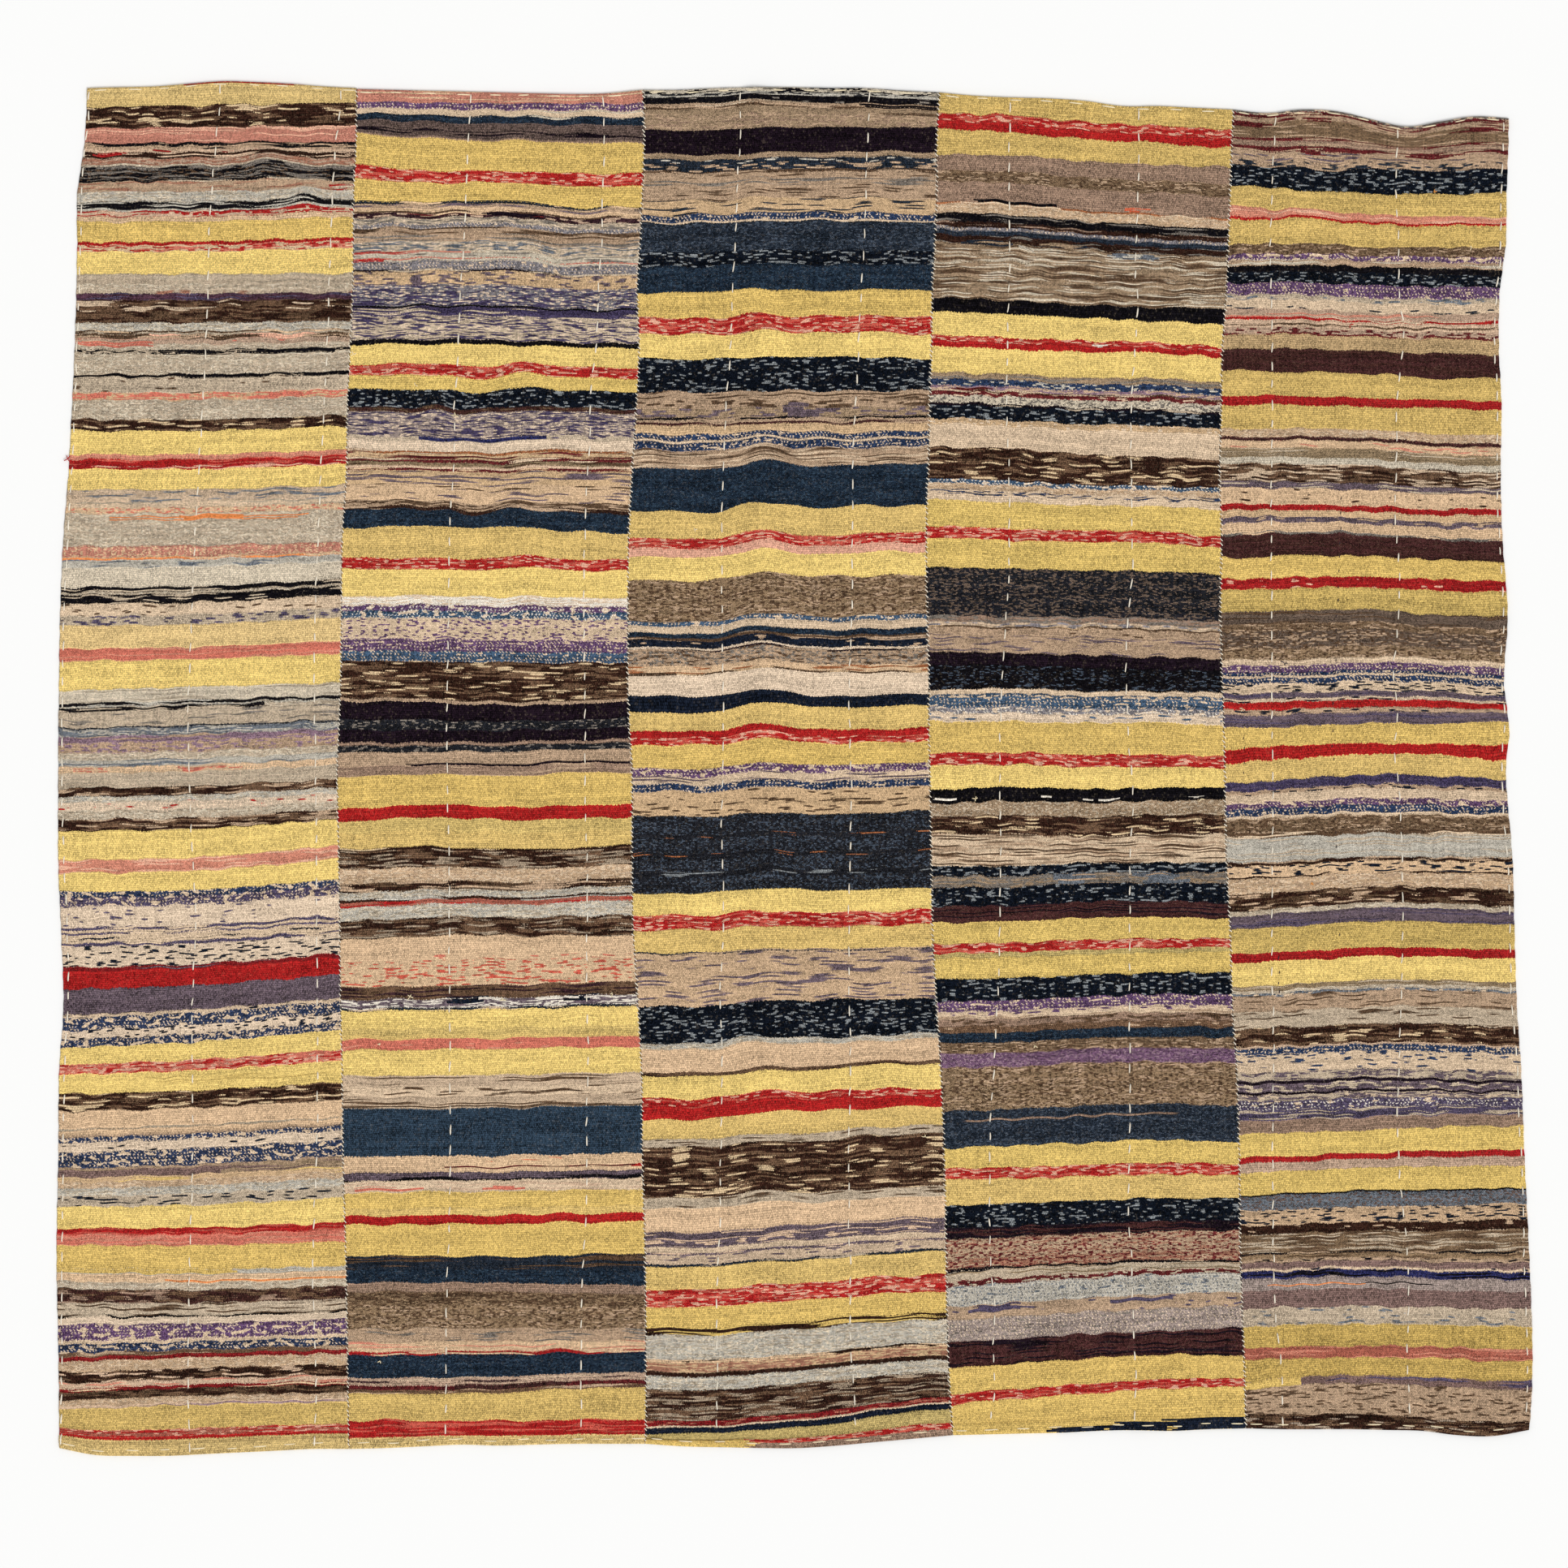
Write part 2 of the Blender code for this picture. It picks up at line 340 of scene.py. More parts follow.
# The five panels. A chart gives the first row of each stripe, in picture rows down the panel's middle, and
# its weave. The waves say how far a row lies below that at each of the stations across the panel, in pixels.
# A pucker lifts the rows round a pixel, over half a width and half a height. A row of running stitches goes
# down through pixels written as x@y. The hems are the heights of their edges in mm, from the west.

panels = {
    "panel1": {
        "sides": ("west", "seam1"),
        "topHem": (791, 792, 793, 796, 799, 798, 796, 793, 791),
        "bottomHem": (-790, -798, -799, -799, -797, -795, -793, -791, -791),
        "chart": """
            103 hemMustard 130 brownLens 157 dustySalmon+salmonPale.lines 176 black+tan.streaks
            180 tan+black.gaps 184 pinkBeige+crimson.few 188 brown+pinkBeige.streaks
            195 roseTan+terracotta.mottle 203 greige 205 slateGrey+black.thick
            209 black+slateGrey+umber.mottle 222 black+greige.gaps 224 tan+terracotta.wisps 236 paleGrey
            249 black+paleGrey.streaks 258 paleGrey 260 crimson+pinkBeige.gaps 261.5 red+pinkBeige.mottle
            267 peach 273 mustard 298 red 302 peach+red+salmonRed.ikat 310 yellow 338 greige+ash.lines
            350 greige 358 greige+terracotta.dashes 362 wineViolet+violet.streaks
            370 mottledBrown+lightTan+brown.floats 385 brown+mottledBrown+umber.floats 398 paleGrey
            408 umber+peach.gaps 410 greige+umber.wisps 412 umber+salmonPale+tan.leaf
            418 roseTan+salmonRed.few 424 greige 431 black+greige.mottle 436 greige 461 black+greige.gaps
            465.5 greige+umber.few 484 peachTan+salmonRed.mottle 493 greige 517 brownLens 531 yellow
            560 salmon 566 red+ikatPink.streaks 573 crimson+pinkCream.streaks 578 yellow
            603 lightTan+slateBlue.wisps 618 cream+ash.lines 625 peach+salmonRed.crumbs 632 greige
            642 greige 672 dustySalmon+peach.specks 685 peach 686 orange+peach.gaps
            688.5 paleGrey+slateBlue.wisps 698 paleGreige 722 black+greige.streaks 728 greige
            731 black+greige.wisps 742 cream+umber.few 757 greige+violet.thick 769 paleYellow
            797 salmonRed+salmon.lines 812 yellow 846 paleGreige+ash.lines 862 black+paleGrey.gaps
            866 paleGrey 868 black+greige.streaks 873 greige+slateGrey.wisps 893 navy
            894.5 paleGrey+slateBlue.mottle 904 lilac+tan.streaks 912 tan+lilac.flecks 925 greige
            934 paleGrey+slateBlue.lines 942 peach 950 greige+ash.lines 968 brown+tan+mottledBrown.floats
            979 paleGrey 986 paleCream+red.few 996 greige 1007 brown+tan+mottledBrown.floats 1021 yellow
            1056 salmon+salmonPale.streaks 1072 yellow 1096 inkBlobs 1103 violet+paleCream+cream.blobs
            1114 paleCream+violet.few 1139 violet+cream.gaps 1143 cream 1146 violet+cream.gaps 1148 cream
            1152 navy+cream.gaps 1154 cream 1158 violet+cream.gaps 1162 paleCream+navy.dense
            1187 darkRed+slatePurple.lines 1192 red 1213 slatePurple 1243 cream+navy.dashes 1247 inkBlobs
            1262 paleCream+navy.flecks 1273 inkBlobs 1283 yellow 1305 salmonRed+pinkCream+red.ikat
            1318 yellow 1343 brownLens 1364 peach 1385 ash+peach.gaps 1387 peach 1393 tan 1396 inkBlobs
            1402 paleCream+navy.few 1414 inkBlobs 1434 taupe 1437 taupe+mauveTaupe.lines
            1446 peachTan+yellowTan.lines 1452 sand 1460 paleGrey 1470 greige+navy.dashes 1484 yellow
            1512 red+ikatPink.streaks 1520 salmonRed+salmon.streaks 1534 mustard
            1564 paleGrey+greige.lines 1570 peach 1580 greige 1589 chocolate+roseTaupe+mottledBrown.lens
            1605 greige+umber.streaks 1620 black+greige.gaps 1622 paleCream+greige.lines 1630 purpleBlobs
            1648 cream 1652 inkBlobs 1662 mottledBrown+tan.streaks 1667 darkRed 1672 sand
            1685 brown+pinkBeige+mottledBrown.lens 1698 pinkBeige+salmon.streaks 1705 darkRed+peach.gaps
            1709 brown+mottledBrown+umber.floats 1719 sand 1727 pinkBeige+lilac.lines 1730 oldGold
            1759 brickRose+pinkCream+red.ikat 1768 red 1772 hemMustard""",
        "chartEnd": 1792,
        "stations": (90, 250, 425),
        "waves": (
            (130, 3, 0, -3), (200, 1, 0, 0), (298, 1, 0, -5), (338, 0, 0, -1), (461, 0, 0, -4),
            (566, 0, 0, -6), (674, 2, 0, -4), (725, 2, 0, -9), (812, 3, 0, -7), (846, 5, 0, -5),
            (968, 3, 0, -9), (1007, 3, 0, -11), (1056, 4, 0, -15), (1103, 3, 0, -13), (1213, 6, 0, -13),
            (1273, 8, 0, -15), (1343, 5, 0, -10), (1418, 6, 0, -10), (1484, 3, 0, -9), (1534, 0, 0, -5),
            (1589, -1, 0, -5), (1667, 5, 0, -5), (1730, 6, 0, -3)),
        "puckers": ((330, 205, 30, 20, 8), (375, 252, 26, 18, 7)),
        "stitchRows": (
            "110@145 102@220 100@300 90@563 80@740 77@980 85@1205 80@1320 77@1550 76@1770",
            "272@120 260@255 254@430 243@620 235@805 232@890 238@1063 242@1120 237@1250 238@1400"
            " 234@1560 232@1720 234@1778",
            "421@125 412@200 403@435 395@590 388@795 390@1000 391@1250 391@1405 386@1560 390@1700"
            " 388@1765",
        ),
    },
    "panel2": {
        "sides": ("seam1", "seam2"),
        "topHem": (790, 789, 788, 787, 786, 785, 784, 785, 789),
        "bottomHem": (-791, -790, -788, -786, -787, -786, -785, -785, -785),
        "chart": """
            114 dustySalmon+peach.lines 128 purpleTicks 136 cream+mint.lines 144 tealNavy+mint.gaps
            146 tealNavy 153 dusk 163 plumBlack+dusk.gaps 168 dusk 172 roseTaupe 174 mustard 211 redIkat
            225 mustard 248 slateNavy+peach.gaps 251 tan+slatePurple.streaks 256 peach
            260 umber+peach.gaps 261.5 plum+roseTan.thick 268 greige+slateGrey+paleCream.stipple
            275 slateTicks 280 tan+umber.streaks 288 tan+slateGrey.streaks
            297 greige+slateBlue+paleCream.stipple 309 greige 311 mint+slateGrey.wisps
            317.5 salmonRed+mint.gaps 319 mint 321 slateTicks 332 plumBlack+greige.gaps
            334 peachTan+slatePurple.thick 351 dullBlue+nightViolet+paleCream.stipple 376.5 black
            379 nightViolet+greige.streaks 389 greige+nightViolet+paleCream.stipple 419 black 425 yellow
            451 redIkat 464 gold 481 navyFleck 503.5 chocolate+umber.thick
            509 ashRose+nightViolet+paleCream.stipple 540 greige+violet.few 545 paleCream
            558 orangeBrown+cream.gaps 561 peachTan+maroon.streaks 568 maroon+cream.gaps
            572 oliveTan+umber.streaks 577 pinkBeige 580 maroon+peach.gaps
            583 peachTan+slatePurple.streaks 600 peach+umber.wisps 606 peach+slatePurple.wisps
            620 tan+umber.mottle 627 brown+tan.gaps 631 tealNavy 651 yellowTan 688 redIkat 702 yellow
            736 paleCream+white.mottle 747 whitePurple 754 whiteBlue 763 cream+tickPurple.crumbs
            789 purpleTicks 803 blueTicks 816 brownLens 865 tan 869 plumBlack
            889 charcoal+slateGrey.crumbs 900 plumBlack 914 roseTaupe 918 charcoal+slateGrey.crumbs
            926 tan 944 roseTaupe+tan.streaks 956 mustard 994 red 1010 greenYellow 1026 yellowTan
            1046 brown+lensCream.gaps 1049 greyLens 1070 sand 1086 brown+tan+umber.leaf 1096 paleGrey
            1104 brown+paleGrey.gaps 1107.5 brickRose+red.streaks 1113 paleGrey 1129 greyLens 1152 peach
            1175 peach+salmonRed.few 1181 peach+brickRed.dense 1213 mottledBrown+plum.streaks
            1229 white+slatePurple.mottle 1240 slateNavy+cream.gaps 1243 yellow 1266 greenYellow
            1274 yellowTan 1279 salmonRed+salmon.few 1292 yellow 1324 lightTan+umber.lines
            1338 cream+umber.wisps 1350 lightTan+umber.lines 1365 teal 1424 peach 1444 slatePurple
            1450 black+slatePurple.gaps 1454 cream+pinkBeige.streaks 1468 mustard 1488 yellowTan 1497 red
            1508 mustard 1548 slateNavy+umber.lines 1564 tealNavy 1580 roseTaupe
            1591 umber+taupeBrown+oliveBrown.heather 1606 taupeBrown+umber+tan.heather
            1636 tan+slateGrey.wisps 1652 peach+salmon.lines 1664 crimson+peach.gaps 1668 tealNavy
            1696 roseTan+cream.lines 1700 plum+roseTan.gaps 1702 roseTan 1706 maroon
            1711 mottledBrown+tan.streaks 1716 oldGold 1750 red+ikatPink.streaks 1768 hemMustard""",
        "chartEnd": 1780,
        "stations": (440, 525, 610, 650, 695, 780),
        "waves": (
            (130, -2, -1, 0, 0, 0, 0), (174, -9, -3, 0, 0, 2, 3), (211, -8, 0, 0, 1, 3, 3),
            (249, 1, 1, 0, 1, 8, 7), (424, 0, -1, 0, 1, 3, 4), (451, -1, -3, 0, -5, 1, 3),
            (481, -2, 0, 0, -4, 0, 2), (545, -4, -1, 0, -2, -4, 1), (581, -4, -3, 0, -3, -2, -2),
            (629, -3, -4, 0, -1, 0, 3), (650, 0, -3, 0, -1, 4, 6), (688, -1, 0, 0, -4, 1, 2),
            (736, -1, -2, 0, -1, 0, 2), (816, -2, -1, 0, 0, 1, 0), (870, -5, -4, 0, -1, -1, -5),
            (914, 1, 1, 0, 0, -2, -3), (956, 1, -2, 0, 0, -4, -4), (994, 3, -3, 0, 0, -1, -4),
            (1048, 0, -3, 0, 0, -1, -5), (1107, 5, 1, 0, 3, -2, -4), (1152, 6, 1, 0, 1, 1, 0),
            (1213, 3, 2, 0, 0, -2, -4), (1280, 2, 1, 0, 0, -2, -2), (1365, 1, 1, 0, -1, -2, -4),
            (1424, 1, 0, 0, -1, -2, -3), (1497, 2, 0, 0, -1, -2, -3), (1548, -1, -1, 0, 0, -2, -4),
            (1580, 0, 0, 0, 1, 2, 3), (1668, 2, 1, 0, 0, -1, -2), (1716, 1, 1, 0, -2, -5, -7),
            (1750, -1, 0, 0, 0, -1, -2)),
        "puckers": ((578, 632, 24, 14, -6), (632, 634, 22, 14, 5), (540, 500, 20, 16, 4),
                    (590, 470, 22, 20, -4)),
        "stitchRows": (
            "581@120 577@175 574@255 571@315 567@365 564@455 560@503 561@525 559@590 555@632 553@765"
            " 551@880 552@1003 554@1100 554@1225 555@1380 554@1505 551@1580 550@1680 549@1770",
            "743@118 745@175 742@255 741@315 738@340 735@418 727@503 728@530 724@580 722@635 720@700"
            " 720@810 721@870 721@1003 724@1055 723@1215 725@1290 723@1375 722@1510 718@1563 717@1618"
            " 716@1690 717@1762",
        ),
    },
    "panel3": {
        "sides": ("seam2", "seam3"),
        "topHem": (789, 789, 791, 792, 792, 791, 791, 788, 786),
        "bottomHem": (-785, -788, -789, -790, -790, -787, -783, -779, -775),
        "chart": """
            108 black+mint.mottle 114 charcoal+paleGrey.mottle 119 black+slateGrey.few
            127 tan+greige.lines 130.5 umber+tan.gaps 133.5 taupe+tan.lines 140 taupe 157 plumBlack
            188 taupe+tan.lines 194.5 slateNavy+paleGrey.dashes 200 slateNavy+tan.thick 209 umber+tan.gaps
            212 tan+umber.wisps 218 tan+slateGrey.streaks 228 tan+umber.wisps 244 peachTan+slateNavy.wisps
            262 navyTicks 270 cream 272 slateNavy+slateHint.specks 309 navyFleck 327 tealNavy 359 mustard
            390 redIkat 410 yellow 440 navyFleck 482 tan+umber.streaks 490 tan+umber.thick
            502 taupe+slatePurple.thick 513 black+tan.gaps 516 tan 519 plumBrown+tan.gaps 522 peachTan
            533 navyTicks 540 cream 543 navyTicks 552 tan+umber+cream.strands 574 tealNavy 626 yellowTan
            661 redIkat 673 pinkCream 683 yellow 710 taupeBrown 760 blueTicks 766 cream 776 tealNavy
            783 umber+tan.gaps 787 navy+tan.few 797 paleCream 799.5 plumBlack+tan.gaps
            802 tan+slateGrey+umber.heather 818 peach+orangeBrown.wisps 826 umber+peachTan.gaps
            828 paleCream 857 navy 871 yellowTan 898 red 906 redIkat 915 mustard 943 purpleBlobs
            953 cream+slatePurple.streaks 963 navyTicks 972 peachTan+umber.few 984 peachTan+umber.dashes
            1003 charcoal+slateHint.specks 1026 charcoal+orangeBrown.wisps 1030 charcoal+slateHint.specks
            1049 charcoal+orangeBrown.wisps 1053 charcoal+slateHint.specks 1071 charcoal+greyWhite.wisps
            1077 charcoal+slateHint.specks 1097 yellow 1124 redIkat 1142 yellowTan 1169 slateNavy+tan.gaps
            1171 sand+slatePurple.strokes 1232 navyFleck 1279 paleGrey 1286 peach
            1314 mottledBrown+brown.streaks 1319 yellow 1345 redIkat 1354 red 1368 yellowTan
            1396 greige+umber.wisps 1406 brownLens 1469 greige+umber.wisps 1481 peach
            1508 slatePurple+pinkBeige.streaks 1518 slatePurple+pinkBeige.thick
            1525 slatePurple+pinkBeige.gaps 1527 cream 1534 slatePurple+pinkBeige.gaps
            1537 lightTan+slatePurple.dashes 1549 slateNavy+greige.gaps 1552 yellowTan 1580 redIkat
            1601 mustard 1627 brown+mustard.streaks 1636 paleGrey 1667 brown+peach.leaf
            1671 peachTan+terracotta.mottle 1682 brown 1687 paleGrey 1702 greyLens
            1740 darkRed+brickRose.thick 1747 cream 1749 navy 1757 khaki 1774 redIkat 1781 roseTaupe""",
        "chartEnd": 1790,
        "stations": (810, 880, 938, 1000, 1070, 1140),
        "waves": (
            (128, 2, 0, -4, 0, 1, 4), (160, 4, 4, 1, 0, 0, 0), (199, 1, 4, 0, 0, -1, 0),
            (265, 4, 3, 0, 0, 0, 4), (275, 3, 3, 1, 0, 1, 2), (359, 2, 1, -4, 0, -2, -1),
            (391, 2, 2, -3, 0, -1, 1), (441, 2, 3, 0, 0, 0, 3), (482, 1, 2, 0, 0, 0, 0),
            (575, 3, 4, -6, 0, -1, -4), (626, 4, 5, -7, 0, -3, -2), (661, 2, 3, -8, 0, -4, -6),
            (710, 5, 5, -5, 0, -1, -1), (760, 6, 6, -5, 0, -2, -3), (804, 0, 1, -7, 0, 0, -1),
            (828, 4, 3, -5, 0, 1, 0), (857, 0, 1, -8, 0, 0, -3), (871, 7, 7, -6, 0, 0, -2),
            (899, 3, 2, -6, 0, 1, -2), (943, 4, 4, -4, 0, -2, -3), (1003, 2, 3, -2, 0, -1, -5),
            (1098, 4, 3, -3, 0, -1, -3), (1142, 4, 3, -1, 0, -1, -4), (1232, 8, 7, 1, 0, -1, -2),
            (1280, 7, 5, -3, 0, -3, -6), (1319, 7, 7, 0, 0, -7, -8), (1345, 8, 8, -2, 0, -4, -4),
            (1368, 12, 10, 2, 0, -2, -6), (1396, 8, 6, 1, 0, -7, -10), (1469, 7, 6, -2, 0, -4, -8),
            (1508, 10, 10, 4, 0, -5, -9), (1552, 9, 8, 2, 0, -6, -10), (1627, 9, 9, 4, 0, -6, -10),
            (1668, 7, 8, 4, 0, -8, -13), (1702, 10, 10, 6, 0, -6, -11), (1740, 10, 10, 5, 0, -9, -18),
            (1757, 9, 8, 4, 0, -10, -21)),
        "puckers": ((960, 372, 22, 14, -4), (935, 520, 26, 12, -4)),
        "stitchRows": (
            "912@123 912@165 909@220 907@285 904@330 899@450 895@495 892@565 890@617 890@797 891@870"
            " 890@985 889@1013 891@1095 890@1180 887@1230 890@1280 889@1360 888@1440 887@1520 883@1595"
            " 884@1688 883@1760",
            "1071@120 1071@145 1068@195 1067@250 1062@352 1059@400 1056@470 1053@520 1051@548 1050@680"
            " 1049@783 1046@840 1049@975 1048@1032 1046@1110 1046@1218 1048@1295 1046@1405 1046@1510"
            " 1048@1560 1048@1660 1052@1710 1054@1755",
        ),
    },
    "panel4": {
        "sides": ("seam3", "seam4"),
        "topHem": (786, 782, 780, 779, 776, 770, 770, 768, 766),
        "bottomHem": (-775, -774, -773, -772, -770, -769, -770, -768, -767),
        "chart": """
            125 oldGold 151 redIkat 162 red 172 oldGold 199 roseTaupe 219 oliveBrown+umber+tan.heather
            234 roseTaupe 260 orangeBrown+cream.gaps 262 sand 273 black+slateGrey.streaks
            283 brown+roseTaupe.streaks 289 slateTicks 293 slateNavy 299 brown+slateGrey.wisps
            308 taupe+umber+paleGreige.strands 340 taupe+umber+paleGreige.strands 376 black 392 yellow
            420 redIkat 427 red 434 yellow 466 taupe+slateGrey.streaks 474 tickNavy+paleGrey.bits
            482 pinkBeige+lilac.mottle 487 umber+cream.gaps 489 maroon+pinkBeige.dashes
            494 paleGreige+slateGrey.specks 503 plumBlack+greige.gaps 506 navyFleck
            523 peachTan+paleCream.crumbs 530 cream 560 brownLens 598 whiteBlue 603 sand
            610 cream+tickInk+cream.stipple 616 cream 623 gold 654 redIkat 668 gold
            703 charcoal+smokeBrown+coal.heather 760 roseTaupe+slateGrey.mottle
            768 lightTan+dullBlue.thick 773 umber+peachTan.gaps 775 tan+umber.few
            784 tan+slatePurple.wisps 807 plumBlack 823 black+slateHint.crumbs 852 cream 858 blueBlobs
            862 blueTicks 874 whiteDull 881 paleCream+tickBlue.few 891 mustard 930 redIkat 945 yellow
            972 black 989 taupe+greige.specks 1007 brownLens 1031 cream+umber+tan.strands 1063 navyFleck
            1075 taupe+slateGrey.mottle 1088 navyFleck 1111 plumBrown+plumBlack.lines 1131 gold
            1158 redIkat 1170 khaki 1176 gold 1201 navyFleck 1228 purpleTicks 1241 cream+tickPurple.dense
            1246 cream+tan.streaks 1250 roseTaupe+umber.thick 1259 mottledBrown+tan.few 1267 tealNavy
            1279 oliveBrown+umber+tan.heather 1292 purple+lilac.specks 1309 taupeBrown
            1362 slateNavy+slateHint.specks 1408 gold 1435 redIkat 1449 yellowTan 1479 navyFleck
            1507 plumBlack+plumBrown.streaks 1520 tan+maroon+terracotta.heather
            1545 terracotta+maroon+tan.heather 1556 black+tan.gaps 1559 greige+oliveTan.lines
            1569 maroon+greige.flecks 1575 paleTicks 1599 tan+violet.few
            1616 ashRose+paleCream+slateGrey.ticks 1643 plumBrown+plumBlack.streaks 1674 mustard
            1705 redIkat 1717 mustard""",
        "chartEnd": 1764,
        "stations": (1165, 1250, 1335, 1420, 1505),
        "waves": (
            (150, -11, -8, 0, 4, 9), (172, -13, -8, 0, 4, 11), (199, -8, -7, 0, 4, 7),
            (260, -12, -8, 0, 4, 10), (297, -9, -7, 0, 6, 10), (376, -9, -5, 0, 3, 4),
            (392, -8, -4, 0, 4, 8), (434, -7, -3, 0, 1, 7), (475, -7, -5, 0, 0, 6),
            (523, -8, -4, 0, 2, 6), (560, -9, -7, 0, 3, 7), (598, -8, -5, 0, 1, 4),
            (654, -6, -2, 0, 1, 8), (703, -4, -2, 0, 1, 5), (760, -2, 0, 0, 2, 7), (807, -4, -2, 0, 3, 4),
            (852, -2, -4, 0, 0, 2), (891, -2, -2, 0, -1, 3), (945, -2, -3, 0, 0, 1),
            (989, 1, -2, 0, -2, -4), (1031, -3, -3, 0, -3, -3), (1063, 4, 4, 0, 0, -1),
            (1131, 6, 4, 0, -1, 1), (1170, 5, 3, 0, -2, -3), (1228, 6, 4, 0, -3, -3),
            (1309, 6, 5, 0, -1, 0), (1408, 7, 3, 0, -4, -1), (1449, 3, 3, 0, -2, -2),
            (1479, 7, 3, 0, -3, -3), (1521, 7, 4, 0, -3, -4), (1558, 9, 3, 0, -4, -4),
            (1575, 11, 5, 0, -5, -7), (1643, 11, 6, 0, -3, -7), (1674, 12, 6, 0, -5, -4),
            (1717, 13, 6, 0, -6, -9)),
        "puckers": (),
        "stitchRows": (
            "1244@160 1243@207 1244@302 1242@390 1240@500 1243@575 1243@700 1240@752 1235@830 1232@912"
            " 1233@1060 1232@1132 1229@1235 1225@1310 1220@1393 1220@1555 1226@1608 1223@1660 1225@1710"
            " 1219@1757",
            "1403@157 1403@200 1401@272 1399@342 1402@373 1398@435 1393@510 1395@697 1391@750 1387@807"
            " 1390@905 1396@987 1392@1068 1392@1400 1390@1502 1394@1550 1396@1628 1399@1697 1397@1745",
        ),
    },
    "panel5": {
        "sides": ("seam4", "east"),
        "topHem": (766, 762, 766, 764, 755, 746, 752, 758, 756),
        "bottomHem": (-767, -768, -768, -768, -769, -770, -775, -776, -769),
        "chart": """
            136 slateGrey+cream.flecks 139 maroon+tan.gaps 143 tan+maroon.wisps 149 oliveBrown+tan.wisps
            158 oliveBrown+tan.wisps 165 oliveBrown+tan.streaks 171 maroon+tan.gaps
            175 roseTaupe+tan.streaks 182 maroon+tan.gaps 188 tan+slatePurple.wisps
            199 tan+slateNavy.thick 208 navyFleck 239 oldGold 265 salmon+salmonPale.streaks 274 red
            277 oldGold 305 oliveBrown+umber+tan.heather 316 purpleBlobs 322 tan+mint.lines 329 black
            337 navyFleck 352 purpleTicks 368 greige+slateBlue.thick 374 cream 382 cream+slateNavy.dashes
            386 roseTan+salmon.lines 395 red+cream.gaps 398.5 pinkBeige 403 umber+pinkBeige.gaps
            405 pinkBeige 408 roseTan+maroon.flecks 414 maroon+tan.gaps 416 oliveSand
            433 plumBrown+chocolate.lines 461 oldGold 491 crimson 502 oldGold 530 sand 540 plumBrown
            544.5 peach+salmon.wisps 554 oliveTan+greige.lines 566 mint
            574 mottledBrown+lightTan+brown.floats 596 slatePurple+greige.streaks 604 peach+brown.few
            624 crimson 631 peachTan 639 slatePurple+tan.dashes 646 peach 657 slateGrey+peach.gaps
            660 plumBrown+chocolate.lines 686 mustard 711 crimson+pinkCream.few 724 dullYellow
            751 smokeBrown+umber.lines 766 oliveBrown+umber+tan.heather 775 smokeBrown+umber+tan.heather
            795 taupeBrown+umber+tan.heather 809 cream 816 purpleTicks 825 navyTicks 829 cream
            832 navyTicks 839 cream+navy.dense 851 slatePurple+violet.lines 858 cream+navy.dashes 862 red
            871 tan+navy.dashes 877 slatePurple+violet.lines 891 mustard 916 red 929 yellowTan
            954 nightViolet+violet.streaks 966 tan+navy.dense 971 cream 983 purpleBlobs 991 navyTicks
            1000 cream 1004 oliveBrown+umber+tan.heather 1021 umber+cream.streaks
            1027 paleGrey+greige.lines 1055 brown+tan.leaf 1060 peach+navy.dense 1073 brown+peach.gaps
            1075 sand 1092 brown+tan+umber.lens 1112 greige 1118 slatePurple+violet.lines 1135 dullYellow
            1167 crimson 1178 yellow 1207 oliveTan+greige.lines 1213 greige 1217 slateBlue+cream.thick
            1220 tan+umber.wisps 1240 greige+umber.wisps 1261 brownLens 1284 pinkBeige 1286 navyTicks
            1294 cream+tickNavy.dense 1306 cream+tickNavy.few 1316 slatePurple+greige.mottle
            1327 plumBlack 1330.5 slatePurple+greige.thick 1341 plumBlack
            1344 slatePurple+greige+cream.mottle 1352 violet+white+cream.ticks 1363 violet+greige.streaks
            1376 roseTaupe 1392 gold 1420 crimson 1427 roseTan 1438 gold 1466 black
            1468 slateBlue+dusk.specks 1486 sand+navy.dense 1505 brown+tan.few
            1516 oliveBrown+umber+greige.strands 1540 black+tan.gaps 1542 taupeBrown+umber.lines
            1548 tan+black.dense 1552 mauveTaupe 1560 cream+navy.few 1563 inkBlue+black.streaks
            1572 ashRose 1587 mauveTaupe 1609 greige+slateBlue.few 1631 ochre 1658 brickRose+salmon.lines
            1672 ochre 1694 mauveTaupe+violet.streaks 1704 tan+umber.dense
            1742 brown+greyLight+mottledBrown.lens""",
        "chartEnd": 1761,
        "stations": (1530, 1600, 1690, 1770, 1845),
        "waves": (
            (208, -6, -2, 0, 3, 0), (239, -10, -4, 0, 1, -1), (265, -11, -8, 0, 2, 3),
            (276, -6, -8, 0, 2, 1), (305, -3, -5, 0, 0, 0), (329, -1, -2, 0, 2, 4),
            (368, -5, -5, 0, 1, 1), (433, -3, -3, 0, 3, 4), (461, -4, -2, 0, 6, 5),
            (502, -3, -3, 0, 1, 4), (530, -1, -2, 0, 5, 7), (574, -3, -2, 0, 6, 8),
            (624, -3, -2, 0, 4, 3), (660, 0, -3, 0, 5, 8), (711, 3, 0, 0, 3, 5), (751, 3, 1, 0, 7, 8),
            (809, 4, 4, 0, 3, 8), (862, 4, 2, 0, 1, 6), (890, 6, 4, 0, 1, -2), (917, 7, 2, 0, 1, 2),
            (929, 11, 5, 0, 1, 8), (967, 10, 5, 0, 2, 5), (1003, 6, 3, 0, 1, 3), (1055, 8, 5, 0, 1, 1),
            (1112, 11, 6, 0, 1, 5), (1167, 8, 5, 0, 1, 3), (1207, 9, 5, 0, 0, 3), (1261, 7, 4, 0, 0, 4),
            (1328, 6, 4, 0, 2, 4), (1392, 5, 3, 0, -4, -5), (1438, 7, 4, 0, -1, -2),
